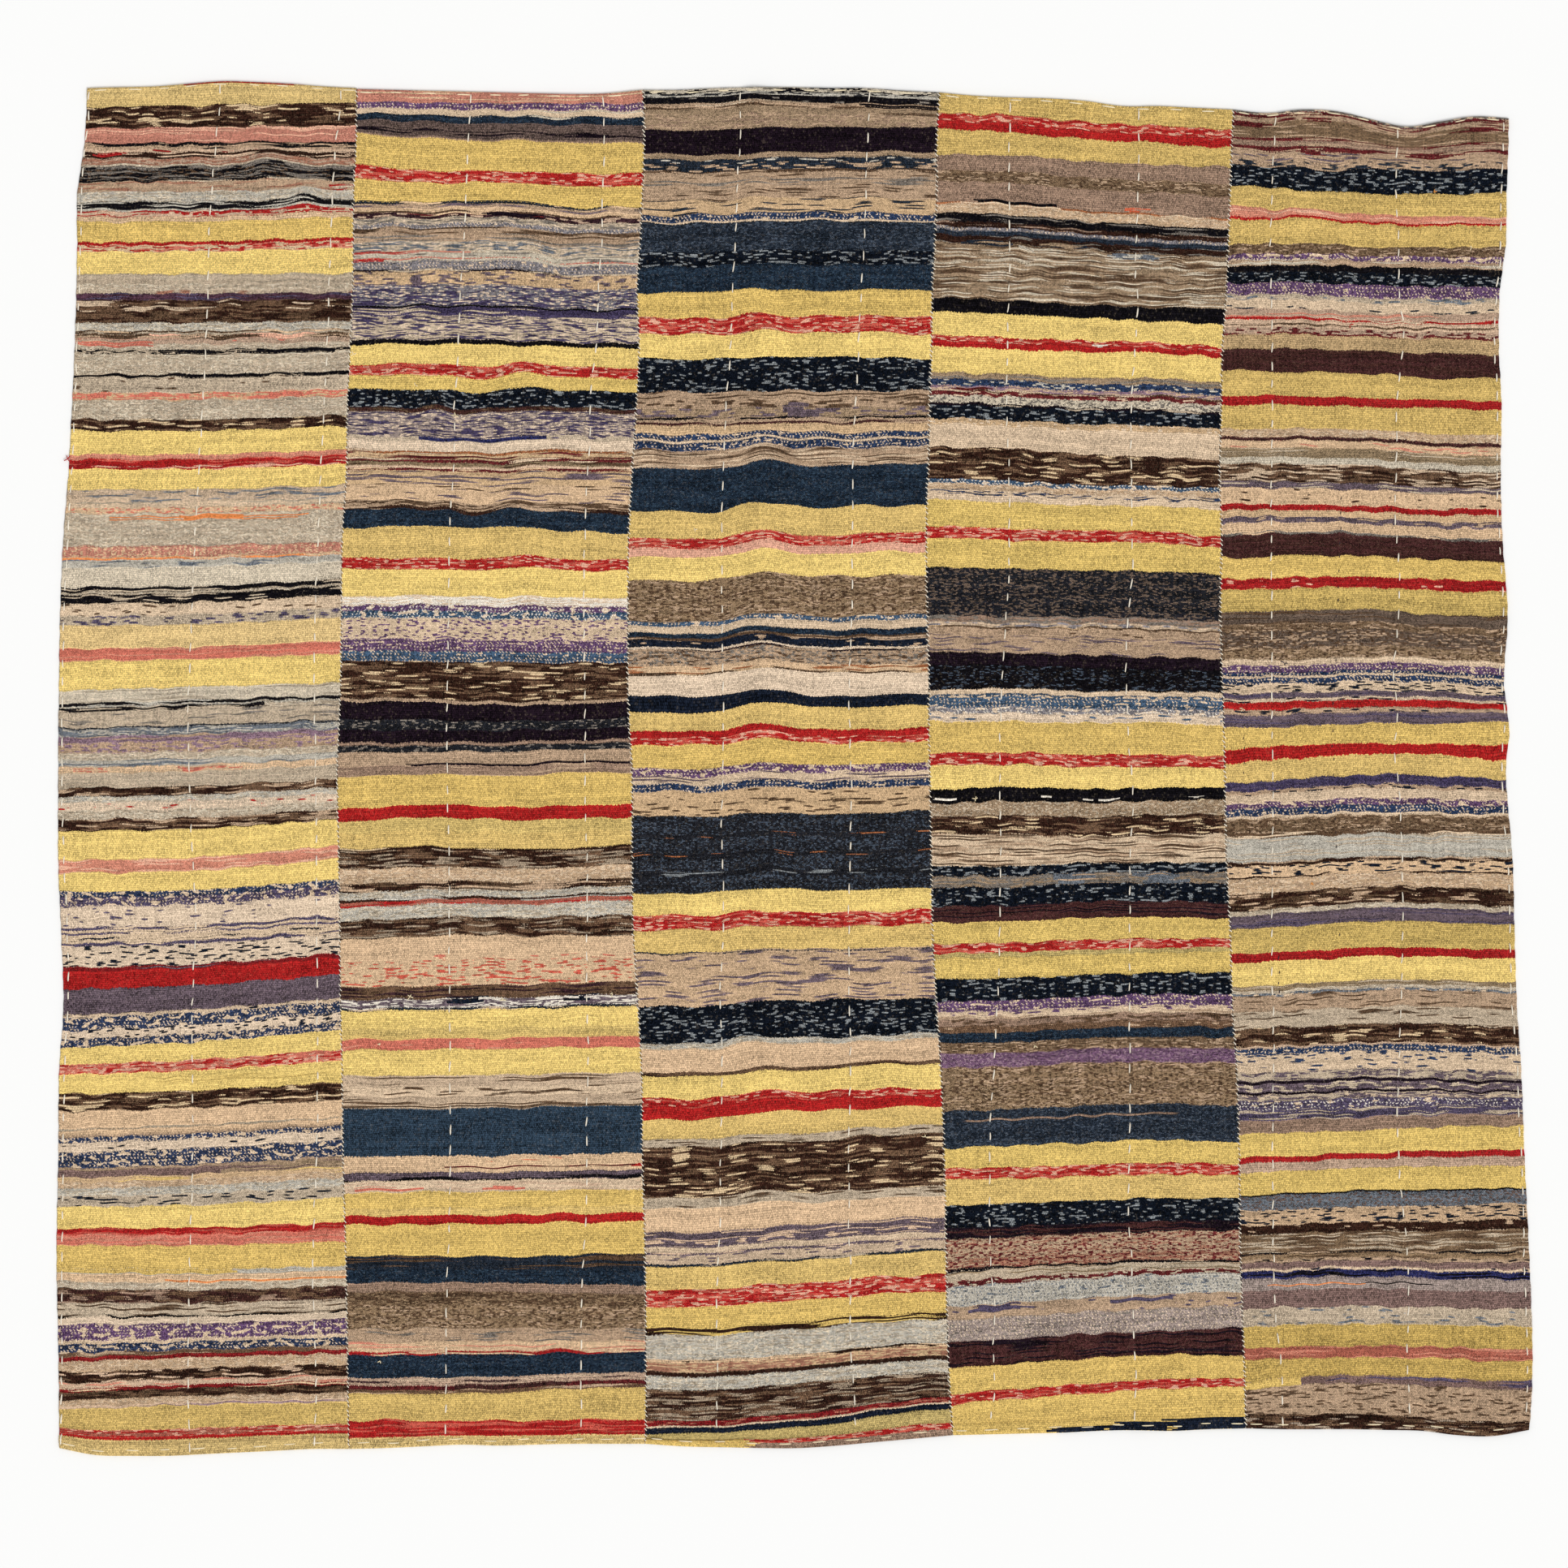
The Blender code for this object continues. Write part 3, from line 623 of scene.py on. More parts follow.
            (1507, 6, 3, 0, 0, -3), (1563, 4, 2, 0, 3, 4), (1631, 4, 1, 0, 1, 3), (1672, 3, 1, 0, 1, 5),
            (1694, 11, 2, 0, 3, 7), (1742, 0, 0, 0, 6, 10)),
        "puckers": ((1562, 197, 20, 14, -6), (1640, 203, 20, 14, -7), (1575, 266, 16, 12, -4)),
        "stitchRows": (
            "1571@150 1568@205 1566@255 1565@325 1567@395 1567@540 1566@660 1567@748 1567@900 1568@957"
            " 1567@1172 1569@1295 1568@1450 1570@1590 1572@1630 1578@1675 1580@1757",
            "1721@180 1719@225 1723@300 1724@370 1730@407 1725@452 1721@500 1720@577 1719@630 1724@715"
            " 1720@795 1716@822 1722@877 1718@925 1724@980 1728@1100 1726@1225 1723@1335 1721@1383"
            " 1725@1460 1731@1512 1735@1605 1733@1675 1738@1747",
            "1852@182 1849@240 1848@325 1843@362 1841@427 1845@490 1844@600 1848@685 1852@765 1848@825"
            " 1854@880 1850@935 1853@1015 1858@1075 1862@1230 1868@1300 1871@1372 1875@1452 1877@1535"
            " 1879@1592 1882@1705 1879@1755",
        ),
    },
}

# Where a stripe differs part of the way across: weave, first and last row, left and right pixel
patches = {
    "panel1": (
        ("red", 103, 105, 225, 370), ("crimson", 187, 192, 121, 153),
        ("crimson+greige.gaps", 228, 236, 395, 440), ("salmonRed+peach.lines", 421, 427, 100, 190),
        ("black", 431, 437, 205, 280), ("black", 431, 437, 300, 400), ("black", 461, 466, 225, 330),
        ("black", 461, 466, 360, 440), ("salmonRed", 486, 491, 110, 140),
        ("salmonRed", 486, 491, 340, 370), ("orange+greige.gaps", 636, 637.5, 138, 385),
        ("orange+greige.gaps", 639, 640.5, 138, 385), ("orange+greige.streaks", 634, 641, 218, 300),
        ("greige", 867.5, 873, 322, 440), ("salmonRed+peach.mottle", 943, 949, 90, 130),
        ("salmonRed+peach.mottle", 943, 949, 220, 290), ("yellow+dullYellow.lines", 1325, 1333, 60, 430),
        ("mauveTaupe", 1437, 1446, 64, 280), ("mustard", 1564, 1569, 60, 290),
        ("orange", 1577, 1579, 210, 430),
    ),
    "panel2": (
        ("slateNavy", 247, 251, 430, 500), ("slateNavy", 247, 251, 590, 690),
        ("maroon+peach.gaps", 262, 264.5, 500, 600), ("plumBlack+maroon.streaks", 262, 266.5, 596, 668),
        ("red", 309, 312, 430, 500), ("salmonRed", 309, 310.5, 500, 570), ("red", 318, 322, 430, 475),
        ("inkBlue", 540, 544.5, 515, 665), ("plumBlack", 941, 944, 510, 790),
        ("navy", 1227, 1235, 558, 602), ("navy", 1227, 1235, 700, 730),
        ("peach+orangeRed.wisps", 1426, 1431, 595, 685), ("maroon+peach.gaps", 1437, 1438.8, 545, 800),
        ("red", 1436, 1440, 780, 800), ("black", 1449, 1453, 705, 800),
        ("salmonRed+cream.lines", 1461, 1466, 440, 510), ("salmonRed+cream.lines", 1461, 1466, 605, 642),
        ("plumBrown", 1705, 1711, 560, 700),
    ),
    "panel3": (
        ("black", 128, 132.5, 1062, 1165), ("umber+taupe.gaps", 138, 142, 1090, 1165),
        ("slatePurple+tan.wisps", 494, 500, 972, 992), ("slatePurple", 500, 514, 966, 1000),
        ("tan", 785, 789, 1065, 1165), ("umber", 825, 829, 775, 820), ("mustard", 1774, 1790, 780, 925),
    ),
    "panel4": (
        ("black", 256, 260, 1210, 1310), ("orangeRed+roseTaupe.gaps", 253, 260, 1385, 1420),
        ("slateNavy+taupe.streaks", 304, 311, 1180, 1238),
        ("slateNavy+taupe.streaks", 303, 309, 1288, 1340), ("paleGrey", 311, 314, 1250, 1278),
        ("slateBlue+paleGrey.thick", 309, 316, 1370, 1425), ("maroon", 484, 488, 1175, 1215),
        ("white", 423.5, 427, 1336, 1341), ("white", 423.5, 427, 1346, 1350),
        ("white", 423.5, 427, 1355, 1359), ("white", 982, 984.5, 1161, 1175),
        ("white", 982, 984.5, 1277, 1290), ("white", 984, 986.5, 1335, 1347),
        ("white", 984, 986.5, 1360, 1374), ("white", 984, 986, 1472, 1485),
        ("slateBlue+tan.streaks", 1075, 1088, 1292, 1342),
        ("slateBlue+tan.streaks", 1075, 1088, 1405, 1452),
        ("roseTaupe+slateNavy.gaps", 1373.5, 1376, 1160, 1455), ("black", 1555, 1560, 1160, 1232),
        ("black", 1555, 1559, 1378, 1432), ("violet+pinkBeige.lines", 1600, 1608, 1195, 1262),
        ("violet", 1602, 1606, 1370, 1445), ("navy", 1757, 1764, 1300, 1370),
        ("navy", 1753, 1764, 1370, 1440), ("navy", 1750, 1764, 1440, 1550),
    ),
    "panel5": (
        ("maroon", 149, 156, 1515, 1560), ("maroon", 146, 151, 1605, 1640),
        ("maroon+tan.gaps", 148, 156, 1800, 1870), ("maroon", 186, 192, 1596, 1626),
        ("maroon", 184, 191, 1735, 1790), ("orange", 1580, 1581.5, 1565, 1670),
        ("black", 1579, 1580.5, 1675, 1785), ("mustard", 1694, 1704, 1520, 1608),
    ),
}


# The panels' meshes

def wobble(px, row, seed):
    # Small unevenness in the beat of the weft, in pixels
    waveCount, height = 7, 0.42
    acrossLengths, alongLengths, phases = (30, 120), (50, 190), (0, 6.3)
    dice = random.Random(seed)
    total = np.zeros(np.broadcast(px, row).shape)
    for _ in range(waveCount):
        acrossLength = dice.uniform(*acrossLengths)
        alongLength = dice.uniform(*alongLengths) * dice.choice((-1, 1))
        total += np.sin(2 * math.pi * (px / acrossLength + row / alongLength) + dice.uniform(*phases))
    return height * total


def waveAt(panel, rows, px, seed):
    # How far each chart row lies below its place in the panel's middle, over a grid of columns
    waves = np.array(panel["waves"], float)
    atStations = np.stack([smoothCurve(waves[:, 0], station, rows) for station in waves[:, 1:].T], axis=1)
    offsets = np.stack([smoothCurve(panel["stations"], atStations[r], px[r]) for r in range(len(rows))])
    for middleX, middleY, halfWidth, halfHeight, rise in panel["puckers"]:
        spread = ((px - middleX) / halfWidth) ** 2 + ((rows[:, None] - middleY) / halfHeight) ** 2
        offsets -= rise * np.exp(-spread)
    return offsets + wobble(px, rows[:, None], seed)


def readChart(panel):
    # The first row of each stripe, and its weave
    words = panel["chart"].split()
    starts = [float(word) for word in words[::2]]
    return starts, words[1::2]


def meshRows(name, panel, starts):
    # Rows of the mesh, in chart rows: one at each change of stripe, closer ones at the folded ends. A thin
    # stripe is one row of faces, and no closer row comes nearer to another than the least gap.
    leastGap, thin = 0.55, 2.2
    endSteps = (0.6, 1.6, 3.2, 6, 9, 12, 13.9, 15.5, 17.2, 22)
    top, bottom = starts[0], float(panel["chartEnd"])
    fixed = set(starts) | {bottom}
    for patch in patches[name]:
        fixed |= {float(row) for row in patch[1:3]}
    fixed = {row for row in fixed if top <= row <= bottom}
    for step in endSteps:
        for row in (top + step, bottom - step):
            if min(abs(row - other) for other in fixed) > leastGap:
                fixed.add(row)
    fixed = sorted(fixed)
    rows = [top]
    for before, after in zip(fixed, fixed[1:]):
        parts = max(2 if after - before > thin else 1, math.ceil((after - before) / cloth["rowSpacing"]))
        rows += [before + (after - before) * (k + 1) / parts for k in range(parts)]
    return np.array(rows)


def meshColumns():
    # Columns of the mesh, as shares of a panel's width
    edgeSteps = np.array((0, 0.7, 1.7, 3, 5, 8, 12)) * mm / cloth["usualWidth"]
    middleCount = round((1 - 2 * edgeSteps[-1]) * cloth["usualWidth"] / cloth["columnSpacing"])
    middle = np.linspace(edgeSteps[-1], 1 - edgeSteps[-1], middleCount + 1)
    return np.concatenate((edgeSteps[:-1], middle, 1 - edgeSteps[:-1][::-1]))


def hemY(stations, across):
    # The height of a hem's edge at shares of the panel's width
    return smoothCurve(np.linspace(0, 1, len(stations)), np.array(stations) * mm, across)


def thicknessAt(fromEnd):
    # Two layers at the turned hem, and then one
    step = ease((fromEnd - cloth["hemWidth"]) / cloth["hemSlope"])
    return cloth["hemThickness"] + (cloth["thickness"] - cloth["hemThickness"]) * step


def readRow(text):
    # A row of running stitches, from its pixel places, as heights that rise and the places at them
    points = [point.split("@") for point in text.split()]
    places = np.array([[worldY(float(y)), worldX(float(x))] for x, y in points])[::-1]
    return places[:, 0], places[:, 1]


def channels(panel, x, y):
    # How far the rows of running stitches draw the face down
    deepest = np.zeros_like(x)
    for text in panel["stitchRows"]:
        heights, places = readRow(text)
        off = (x - smoothCurve(heights, places, y)) / cloth["channelWidth"]
        deepest = np.maximum(deepest, cloth["channelDepth"] * np.exp(-off * off))
    return deepest


def foldMarks(x, y):
    # How deep the old fold lines are pressed in
    deepest = np.zeros_like(x)
    for crease in creases:
        off, past = distanceToLine(x, y, crease)
        trough = crease[5] * ease(1 - off / crease[4]) * ease(1 - past / cloth["creaseTaper"])
        deepest = np.maximum(deepest, trough)
    return deepest


def clothPlaces(panel, rows, across, seed):
    # Where each point of a panel's grid lies, and the height of its underside
    west, east = panel["sides"]
    westInset = 0 if west == "west" else cloth["seamGap"] / 2
    eastInset = 0 if east == "east" else cloth["seamGap"] / 2
    top, bottom = rows[0], rows[-1]
    firstWave, lastWave = panel["waves"][0][0], panel["waves"][-1][0]

    def placeX(y):
        westX = sideX(west, y) + westInset
        return westX + (sideX(east, y) - eastInset - westX) * across[None, :]

    y = np.repeat(worldY(rows)[:, None], len(across), axis=1)
    x = placeX(y)
    waveY = worldY(rows[:, None] + waveAt(panel, rows, pixelX(x), seed))
    topY = hemY(panel["topHem"], across)[None, :] - (rows[:, None] - top) * picture["pixel"]
    bottomY = hemY(panel["bottomHem"], across)[None, :] + (bottom - rows[:, None]) * picture["pixel"]
    fromTop = ease((rows - top) / (firstWave - top))[:, None]
    fromBottom = ease((bottom - rows) / (bottom - lastWave))[:, None]
    y = topY * (1 - fromTop) + waveY * fromTop
    y = bottomY * (1 - fromBottom) + y * fromBottom
    x = placeX(y)
    return x, y, lift(x, y)


def stripeRows(rows, starts, weaves):
    # For each row of faces: its stripe, the nearest change of stripe and the weave on the other side of it
    middles = (rows[1:] + rows[:-1]) / 2
    stripe = np.searchsorted(starts, middles, side="right") - 1
    ends = np.append(starts[1:], rows[-1])
    nearTop = middles - np.array(starts)[stripe] < ends[stripe] - middles
    other = np.clip(np.where(nearTop, stripe - 1, stripe + 1), 0, len(weaves) - 1)
    change = np.where(nearTop, np.array(starts)[stripe], ends[stripe])
    return stripe, other, change


def weaveColours(name, rows, px, starts, weaves, seed):
    # The weft's colours for each face of the grid, and the change of stripe nearest to each row of faces
    raggedness = 7     # of the ends of a patch, in pixels
    stripe, other, change = stripeRows(rows, starts, weaves)
    known = {weave: readWeave(weave) for weave in weaves}
    faceRows, faceColumns = len(rows) - 1, px.shape[1] - 1
    made = {}
    for layer in ("weftGround", "weftSecond", "weftThird", "weftPattern", "weftBody"):
        byRow = np.array([known[weaves[k]][layer] for k in stripe])
        made[layer] = np.repeat(byRow[:, None, :], faceColumns, axis=1)
    beside = np.array([known[weaves[k]]["weftGround"] for k in other])
    made["weftBeside"] = np.repeat(beside[:, None, :], faceColumns, axis=1)
    middleRows = (rows[1:] + rows[:-1])[:, None] / 2
    middlePx = (px[1:, 1:] + px[:-1, :-1]) / 2
    dice = np.random.default_rng(seed)
    for weave, firstRow, lastRow, left, right in patches[name]:
        ragged = dice.normal(0, raggedness, (faceRows, 2))
        inside = (middleRows > firstRow) & (middleRows < lastRow)
        inside = inside & (middlePx > left + ragged[:, :1]) & (middlePx < right + ragged[:, 1:])
        for layer, value in readWeave(weave).items():
            made[layer][inside] = value
    return made, change


def faceCorners(grid):
    # The four corners of each face of a grid: south west, south east, north east, north west
    return np.stack((grid[1:, :-1], grid[1:, 1:], grid[:-1, 1:], grid[:-1, :-1]), axis=2)


def gridMesh(name, topPoints, lowPoints):
    # A closed sheet from two grids of points that share their rim
    rowCount, columnCount = topPoints.shape[:2]
    upper = np.arange(rowCount * columnCount).reshape(rowCount, columnCount)
    inner = np.zeros((rowCount, columnCount), bool)
    inner[1:-1, 1:-1] = True
    lower = upper.copy()
    lower[inner] = rowCount * columnCount + np.arange(inner.sum())
    points = np.concatenate((topPoints.reshape(-1, 3), lowPoints[inner]))
    faces = np.concatenate((faceCorners(upper).reshape(-1, 4), faceCorners(lower).reshape(-1, 4)[:, ::-1]))
    mesh = bpy.data.meshes.new(name)
    mesh.from_pydata(points.tolist(), [], faces.tolist())
    mesh.shade_smooth()
    return mesh


def cornerValues(grid):
    # Values of a grid of points at the corners of its faces, in the order that gridMesh gives them
    upper = faceCorners(grid).reshape(-1, 4, *grid.shape[2:])
    return upper, upper[:, ::-1]


def addBakeMap(mesh, rows, across):
    # Each side of the cloth is laid out in three lengths side by side, the upper side over the lower one
    lengths, margin = 3, 0.01
    share = (rows - rows[0]) / (rows[-1] - rows[0])
    cuts = [int(np.searchsorted(share, k / lengths)) for k in range(lengths)] + [len(rows) - 1]
    layouts = []
    for half in (0.5, 0.0):
        places = np.zeros((len(rows) - 1, len(across) - 1, 4, 2))
        for k in range(lengths):
            first, last = cuts[k], cuts[k + 1]
            down = (share[first:last + 1] - share[first]) / (share[last] - share[first])
            u = (k + margin + (1 - 2 * margin) * across) / lengths
            v = half + 0.5 * (1 - margin - (1 - 2 * margin) * down)
            grid = np.stack(np.broadcast_arrays(u[None, :], v[:, None]), axis=-1)
            places[first:last] = faceCorners(grid)
        layouts.append(places.reshape(-1, 4, 2))
    placed = np.concatenate((layouts[0], layouts[1][:, ::-1]))
    bakeMap = mesh.uv_layers.new(name="OFBake")
    bakeMap.uv.foreach_set("vector", placed.astype(np.float32).ravel())


def addWeave(mesh, name, rows, across, px, starts, weaves, seed):
    # The chart goes into the mesh: a UV map that counts picks, and the weft's colours face by face
    picksPerRow, chartStart = 0.5, 100
    alongStep = 0.4              # metres between one panel and the next, so that no two share a pattern
    u = np.broadcast_to(across[None, :] * cloth["usualWidth"] + alongStep * seed, px.shape)
    v = np.broadcast_to((rows[:, None] - chartStart) * picksPerRow, px.shape)
    upper, lower = cornerValues(np.stack((u, v), axis=-1))
    weaveMap = mesh.uv_layers.new(name="Weave")
    weaveMap.uv.foreach_set("vector", np.concatenate((upper, lower)).astype(np.float32).ravel())
    layers, change = weaveColours(name, rows, px, starts, weaves, seed)
    for layer, values in layers.items():
        flat = values.reshape(-1, 4)
        attribute = mesh.attributes.new(layer, "FLOAT_COLOR", "FACE")
        attribute.data.foreach_set("color", np.concatenate((flat, flat)).astype(np.float32).ravel())
    # Picks below the nearest change of stripe, above zero south of it
    north = (rows[:-1] - change) * picksPerRow
    south = (rows[1:] - change) * picksPerRow
    edge = np.stack((south, south, north, north), axis=-1)
    edge = np.repeat(edge[:, None, :], len(across) - 1, axis=1).reshape(-1, 4)
    attribute = mesh.attributes.new("stripeEdge", "FLOAT", "CORNER")
    attribute.data.foreach_set("value", np.concatenate((edge, edge[:, ::-1])).astype(np.float32).ravel())


def addObject(name, data):
    made = bpy.data.objects.new(name, data)
    bpy.context.scene.collection.objects.link(made)
    return made


def buildPanel(number):
    # One panel's cloth, its mean width and the length that it was cut to
    name = f"panel{number}"
    panel = panels[name]
    starts, weaves = readChart(panel)
    rows = meshRows(name, panel, starts)
    across = meshColumns()
    x, y, under = clothPlaces(panel, rows, across, number)
    fromEnd = np.minimum(rows - rows[0], rows[-1] - rows) * picture["pixel"]
    thick = np.repeat(thicknessAt(fromEnd)[:, None], len(across), axis=1)
    width = x[:, -1:] - x[:, :1]
    fromSide = np.minimum(x - x[:, :1], x[:, -1:] - x)
    sideRound = np.sqrt(1 - (1 - np.clip(fromSide / cloth["edgeRadius"], 0, 1)) ** 2)
    endRound = np.sqrt(1 - (1 - np.clip(fromEnd / cloth["endRadius"], 0, 1)) ** 2)[:, None]
    roundness = np.minimum(sideRound, endRound)
    dice = np.random.default_rng(seeds["slubs"] + number)
    slubs = dice.normal(0, cloth["slub"], x.shape)
    drawn = np.minimum(channels(panel, x, y) + foldMarks(x, y), cloth["mostDrawn"] * thick)
    upperZ = under + thick * (0.5 + 0.5 * roundness) + (slubs - drawn) * roundness
    lowerZ = under + thick * (0.5 - 0.5 * roundness)
    mesh = gridMesh(name + "Cloth", np.stack((x, y, upperZ), axis=-1), np.stack((x, y, lowerZ), axis=-1))
    addWeave(mesh, name, rows, across, pixelX(x), starts, weaves, number)
    addBakeMap(mesh, rows, across)
    length = float(np.mean(y[0] - y[-1])) + 2 * cloth["hemWidth"]
    return addObject(name + "Cloth", mesh), float(np.mean(width)), length


# Shader building blocks

def addNode(tree, kind, inputs=None, **settings):
    made = tree.nodes.new(kind)
    for key, value in settings.items():
        setattr(made, key, value)
    for key, value in (inputs or {}).items():
        connect(tree, value, made.inputs[key])
    return made


def connect(tree, value, socket):
    if isinstance(value, bpy.types.NodeSocket):
        tree.links.new(value, socket)
    else:
        socket.default_value = value


def calc(tree, operation, *values, clamp=False):
    made = addNode(tree, "ShaderNodeMath", dict(enumerate(values)), operation=operation, use_clamp=clamp)
    return made.outputs[0]


def addCentred(tree, value, weight, total, middle=0.5):
    # A total, and so much of a value's difference from its middle
    return calc(tree, "MULTIPLY_ADD", calc(tree, "SUBTRACT", value, middle), weight, total)


def combine(tree, x, y, z=0.0):
    return addNode(tree, "ShaderNodeCombineXYZ", {"X": x, "Y": y, "Z": z}).outputs["Vector"]


def separate(tree, vector):
    return addNode(tree, "ShaderNodeSeparateXYZ", {"Vector": vector}).outputs


def smoothStep(tree, value, low, high):
    inputs = {"Value": value, "From Min": low, "From Max": high}
    made = addNode(tree, "ShaderNodeMapRange", inputs, interpolation_type="SMOOTHSTEP")
    return made.outputs["Result"]


def mixColour(tree, factor, first, second):
    inputs = {"Factor": factor, 6: first, 7: second}
    return addNode(tree, "ShaderNodeMix", inputs, data_type="RGBA", clamp_factor=True).outputs[2]


def noise(tree, vector, detail=0.0):
    inputs = {"Vector": vector, "Scale": 1.0, "Detail": detail}
    return addNode(tree, "ShaderNodeTexNoise", inputs, noise_dimensions="2D").outputs["Fac"]


def chanceAt(tree, **place):
    # A random value that stays the same for the same whole numbers, which are given as W or as a Vector
    dimensions = "1D" if "W" in place else "2D"
    return addNode(tree, "ShaderNodeTexWhiteNoise", place, noise_dimensions=dimensions).outputs["Value"]


def newGroup(name, inputs, outputs):
    # A node group whose outputs and inputs are plain values, apart from a vector called Weave
    group = bpy.data.node_groups.new(name, "ShaderNodeTree")
    for names, way in ((inputs, "INPUT"), (outputs, "OUTPUT")):
        for socketName in names:
            kind = "NodeSocketVector" if socketName == "Weave" else "NodeSocketFloat"
            group.interface.new_socket(socketName, in_out=way, socket_type=kind)
    return group, group.nodes.new("NodeGroupInput").outputs, group.nodes.new("NodeGroupOutput").inputs


def addGroup(tree, group, inputs):
    return addNode(tree, "ShaderNodeGroup", inputs, node_tree=group).outputs


def newMaterial(name, roughness, specular):
    material = bpy.data.materials.new(name)
    material.use_nodes = True
    shader = material.node_tree.nodes["Principled BSDF"]
    shader.inputs["Roughness"].default_value = roughness
    shader.inputs["Specular IOR Level"].default_value = specular
    return material, material.node_tree, shader


def addFace(tree, shader, colour, brightness, relief):
    # The shader takes a colour made lighter or darker, and a relief of height, strength and distance
    shaded = addNode(tree, "ShaderNodeVectorMath", {0: colour, "Scale": brightness}, operation="SCALE")
    connect(tree, shaded.outputs[0], shader.inputs["Base Color"])
    bump = addNode(tree, "ShaderNodeBump", dict(zip(("Height", "Strength", "Distance"), relief)))
    connect(tree, bump.outputs["Normal"], shader.inputs["Normal"])


def pickGroup():
    # Counts the picks of a UV map in metres across and picks down
    group, given, result = newGroup(
        "Pick Numbers", ("Weave", "Rate"), ("Along", "Picks", "Place", "Hash", "Pick"))
    parts = separate(group, given["Weave"])
    picks = calc(group, "MULTIPLY", parts["Y"], given["Rate"])
    pick = calc(group, "FLOOR", picks)
    connect(group, parts["X"], result["Along"])
    connect(group, picks, result["Picks"])
    connect(group, calc(group, "FRACT", picks), result["Place"])
    connect(group, pick, result["Pick"])
    connect(group, chanceAt(group, W=pick), result["Hash"])
    return group


grainValues = {
    "warpPitch": 2.1 * mm,
    "finePitch": 1.15 * mm,       # of the fine light and dark along a pick
    "fineRate": 1.35,             # its turns to a pick
    "broadRate": 16.0,            # turns of the broad light and dark to the metre
    "broadPicks": 6.0,            # picks to each of them
    "ribPicks": 30.0,             # picks to each turn of the ribs that run down the cloth
    "meanSquare": 0.083,          # of the distance from the middle of a dot
    "darkDots": (0.97, -0.25),    # dots above this are darker by so much
    "lightDots": (0.02, 0.3),     # and those below this are lighter
    "warpShuffle": 13.7,          # picks other dots for the glimpses of warp
    "warpFrom": 0.8,
    "warpTo": 0.95,
}


def grainGroup():
    # The dots of a weft-faced weave: random light and dark, painted shade between the picks and between the
    # warp ends, glimpses of warp, and relief
    group, given, result = newGroup(
        "Weave Grain", ("Along", "Picks", "Pick", "Place", "Hash"),
        ("UnevennessAndPaintedShade", "Warp", "Fine", "Broad", "Height"))
    odd = calc(group, "MODULO", given["Pick"], 2.0)
    cell = calc(group, "DIVIDE", given["Along"], grainValues["warpPitch"])
    cell = calc(group, "MULTIPLY_ADD", odd, 0.5, cell)
    dots = chanceAt(group, Vector=combine(group, calc(group, "FLOOR", cell), given["Pick"]))
    fineAcross = calc(group, "DIVIDE", given["Along"], grainValues["finePitch"])
    fineDown = calc(group, "MULTIPLY", given["Picks"], grainValues["fineRate"])
    fine = noise(group, combine(group, fineAcross, fineDown), detail=0.5)
    broadAcross = calc(group, "MULTIPLY", given["Along"], grainValues["broadRate"])
    broadDown = calc(group, "DIVIDE", given["Picks"], grainValues["broadPicks"])
    broad = noise(group, combine(group, broadAcross, broadDown), detail=2.0)
    ribDown = calc(group, "DIVIDE", given["Picks"], grainValues["ribPicks"])
    rib = noise(group, combine(group, fineAcross, ribDown))
    inCell = calc(group, "SUBTRACT", calc(group, "FRACT", cell), 0.5)
    inPick = calc(group, "SUBTRACT", given["Place"], 0.5)
    across = calc(group, "MULTIPLY", inCell, inCell)
    down = calc(group, "MULTIPLY", inPick, inPick)
    # What makes a place lighter or darker, with its middle and how much it shows. The squared distances
    # across and down paint shade at the edges of each dot, between the warp ends and between the picks; the
    # rest is random tone.
    lightAndDark = (
        (dots, 0.5, 0.30),
        (fine, 0.5, 0.75),
        # Painted shade between the warp ends and between the picks
        (across, grainValues["meanSquare"], -1.1),
        (down, grainValues["meanSquare"], -0.9),
        (rib, 0.5, 0.2),
        (given["Hash"], 0.5, 0.12),
        (broad, 0.5, 0.3),
    )
    total = 0.0
    for value, middle, weight in lightAndDark:
        total = addCentred(group, value, weight, total, middle)
    least, darkening = grainValues["darkDots"]
    most, lightening = grainValues["lightDots"]
    darkDots = calc(group, "MULTIPLY", calc(group, "GREATER_THAN", dots, least), darkening)
    lightDots = calc(group, "MULTIPLY", calc(group, "LESS_THAN", dots, most), lightening)
    total = calc(group, "ADD", total, calc(group, "ADD", darkDots, lightDots))
    warp = calc(group, "FRACT", calc(group, "MULTIPLY", dots, grainValues["warpShuffle"]))
    warp = smoothStep(group, warp, grainValues["warpFrom"], grainValues["warpTo"])
    # How far each makes the face stand up
    heights = ((across, -0.9 * mm), (down, -1.4 * mm), (dots, 0.16 * mm), (fine, 0.5 * mm))
    height = 0.0
    for value, rise in heights:
        height = calc(group, "MULTIPLY_ADD", value, rise, height)
    made = {"UnevennessAndPaintedShade": total, "Warp": warp, "Fine": fine, "Broad": broad, "Height": height}
    for key, value in made.items():
        connect(group, value, result[key])
    return group


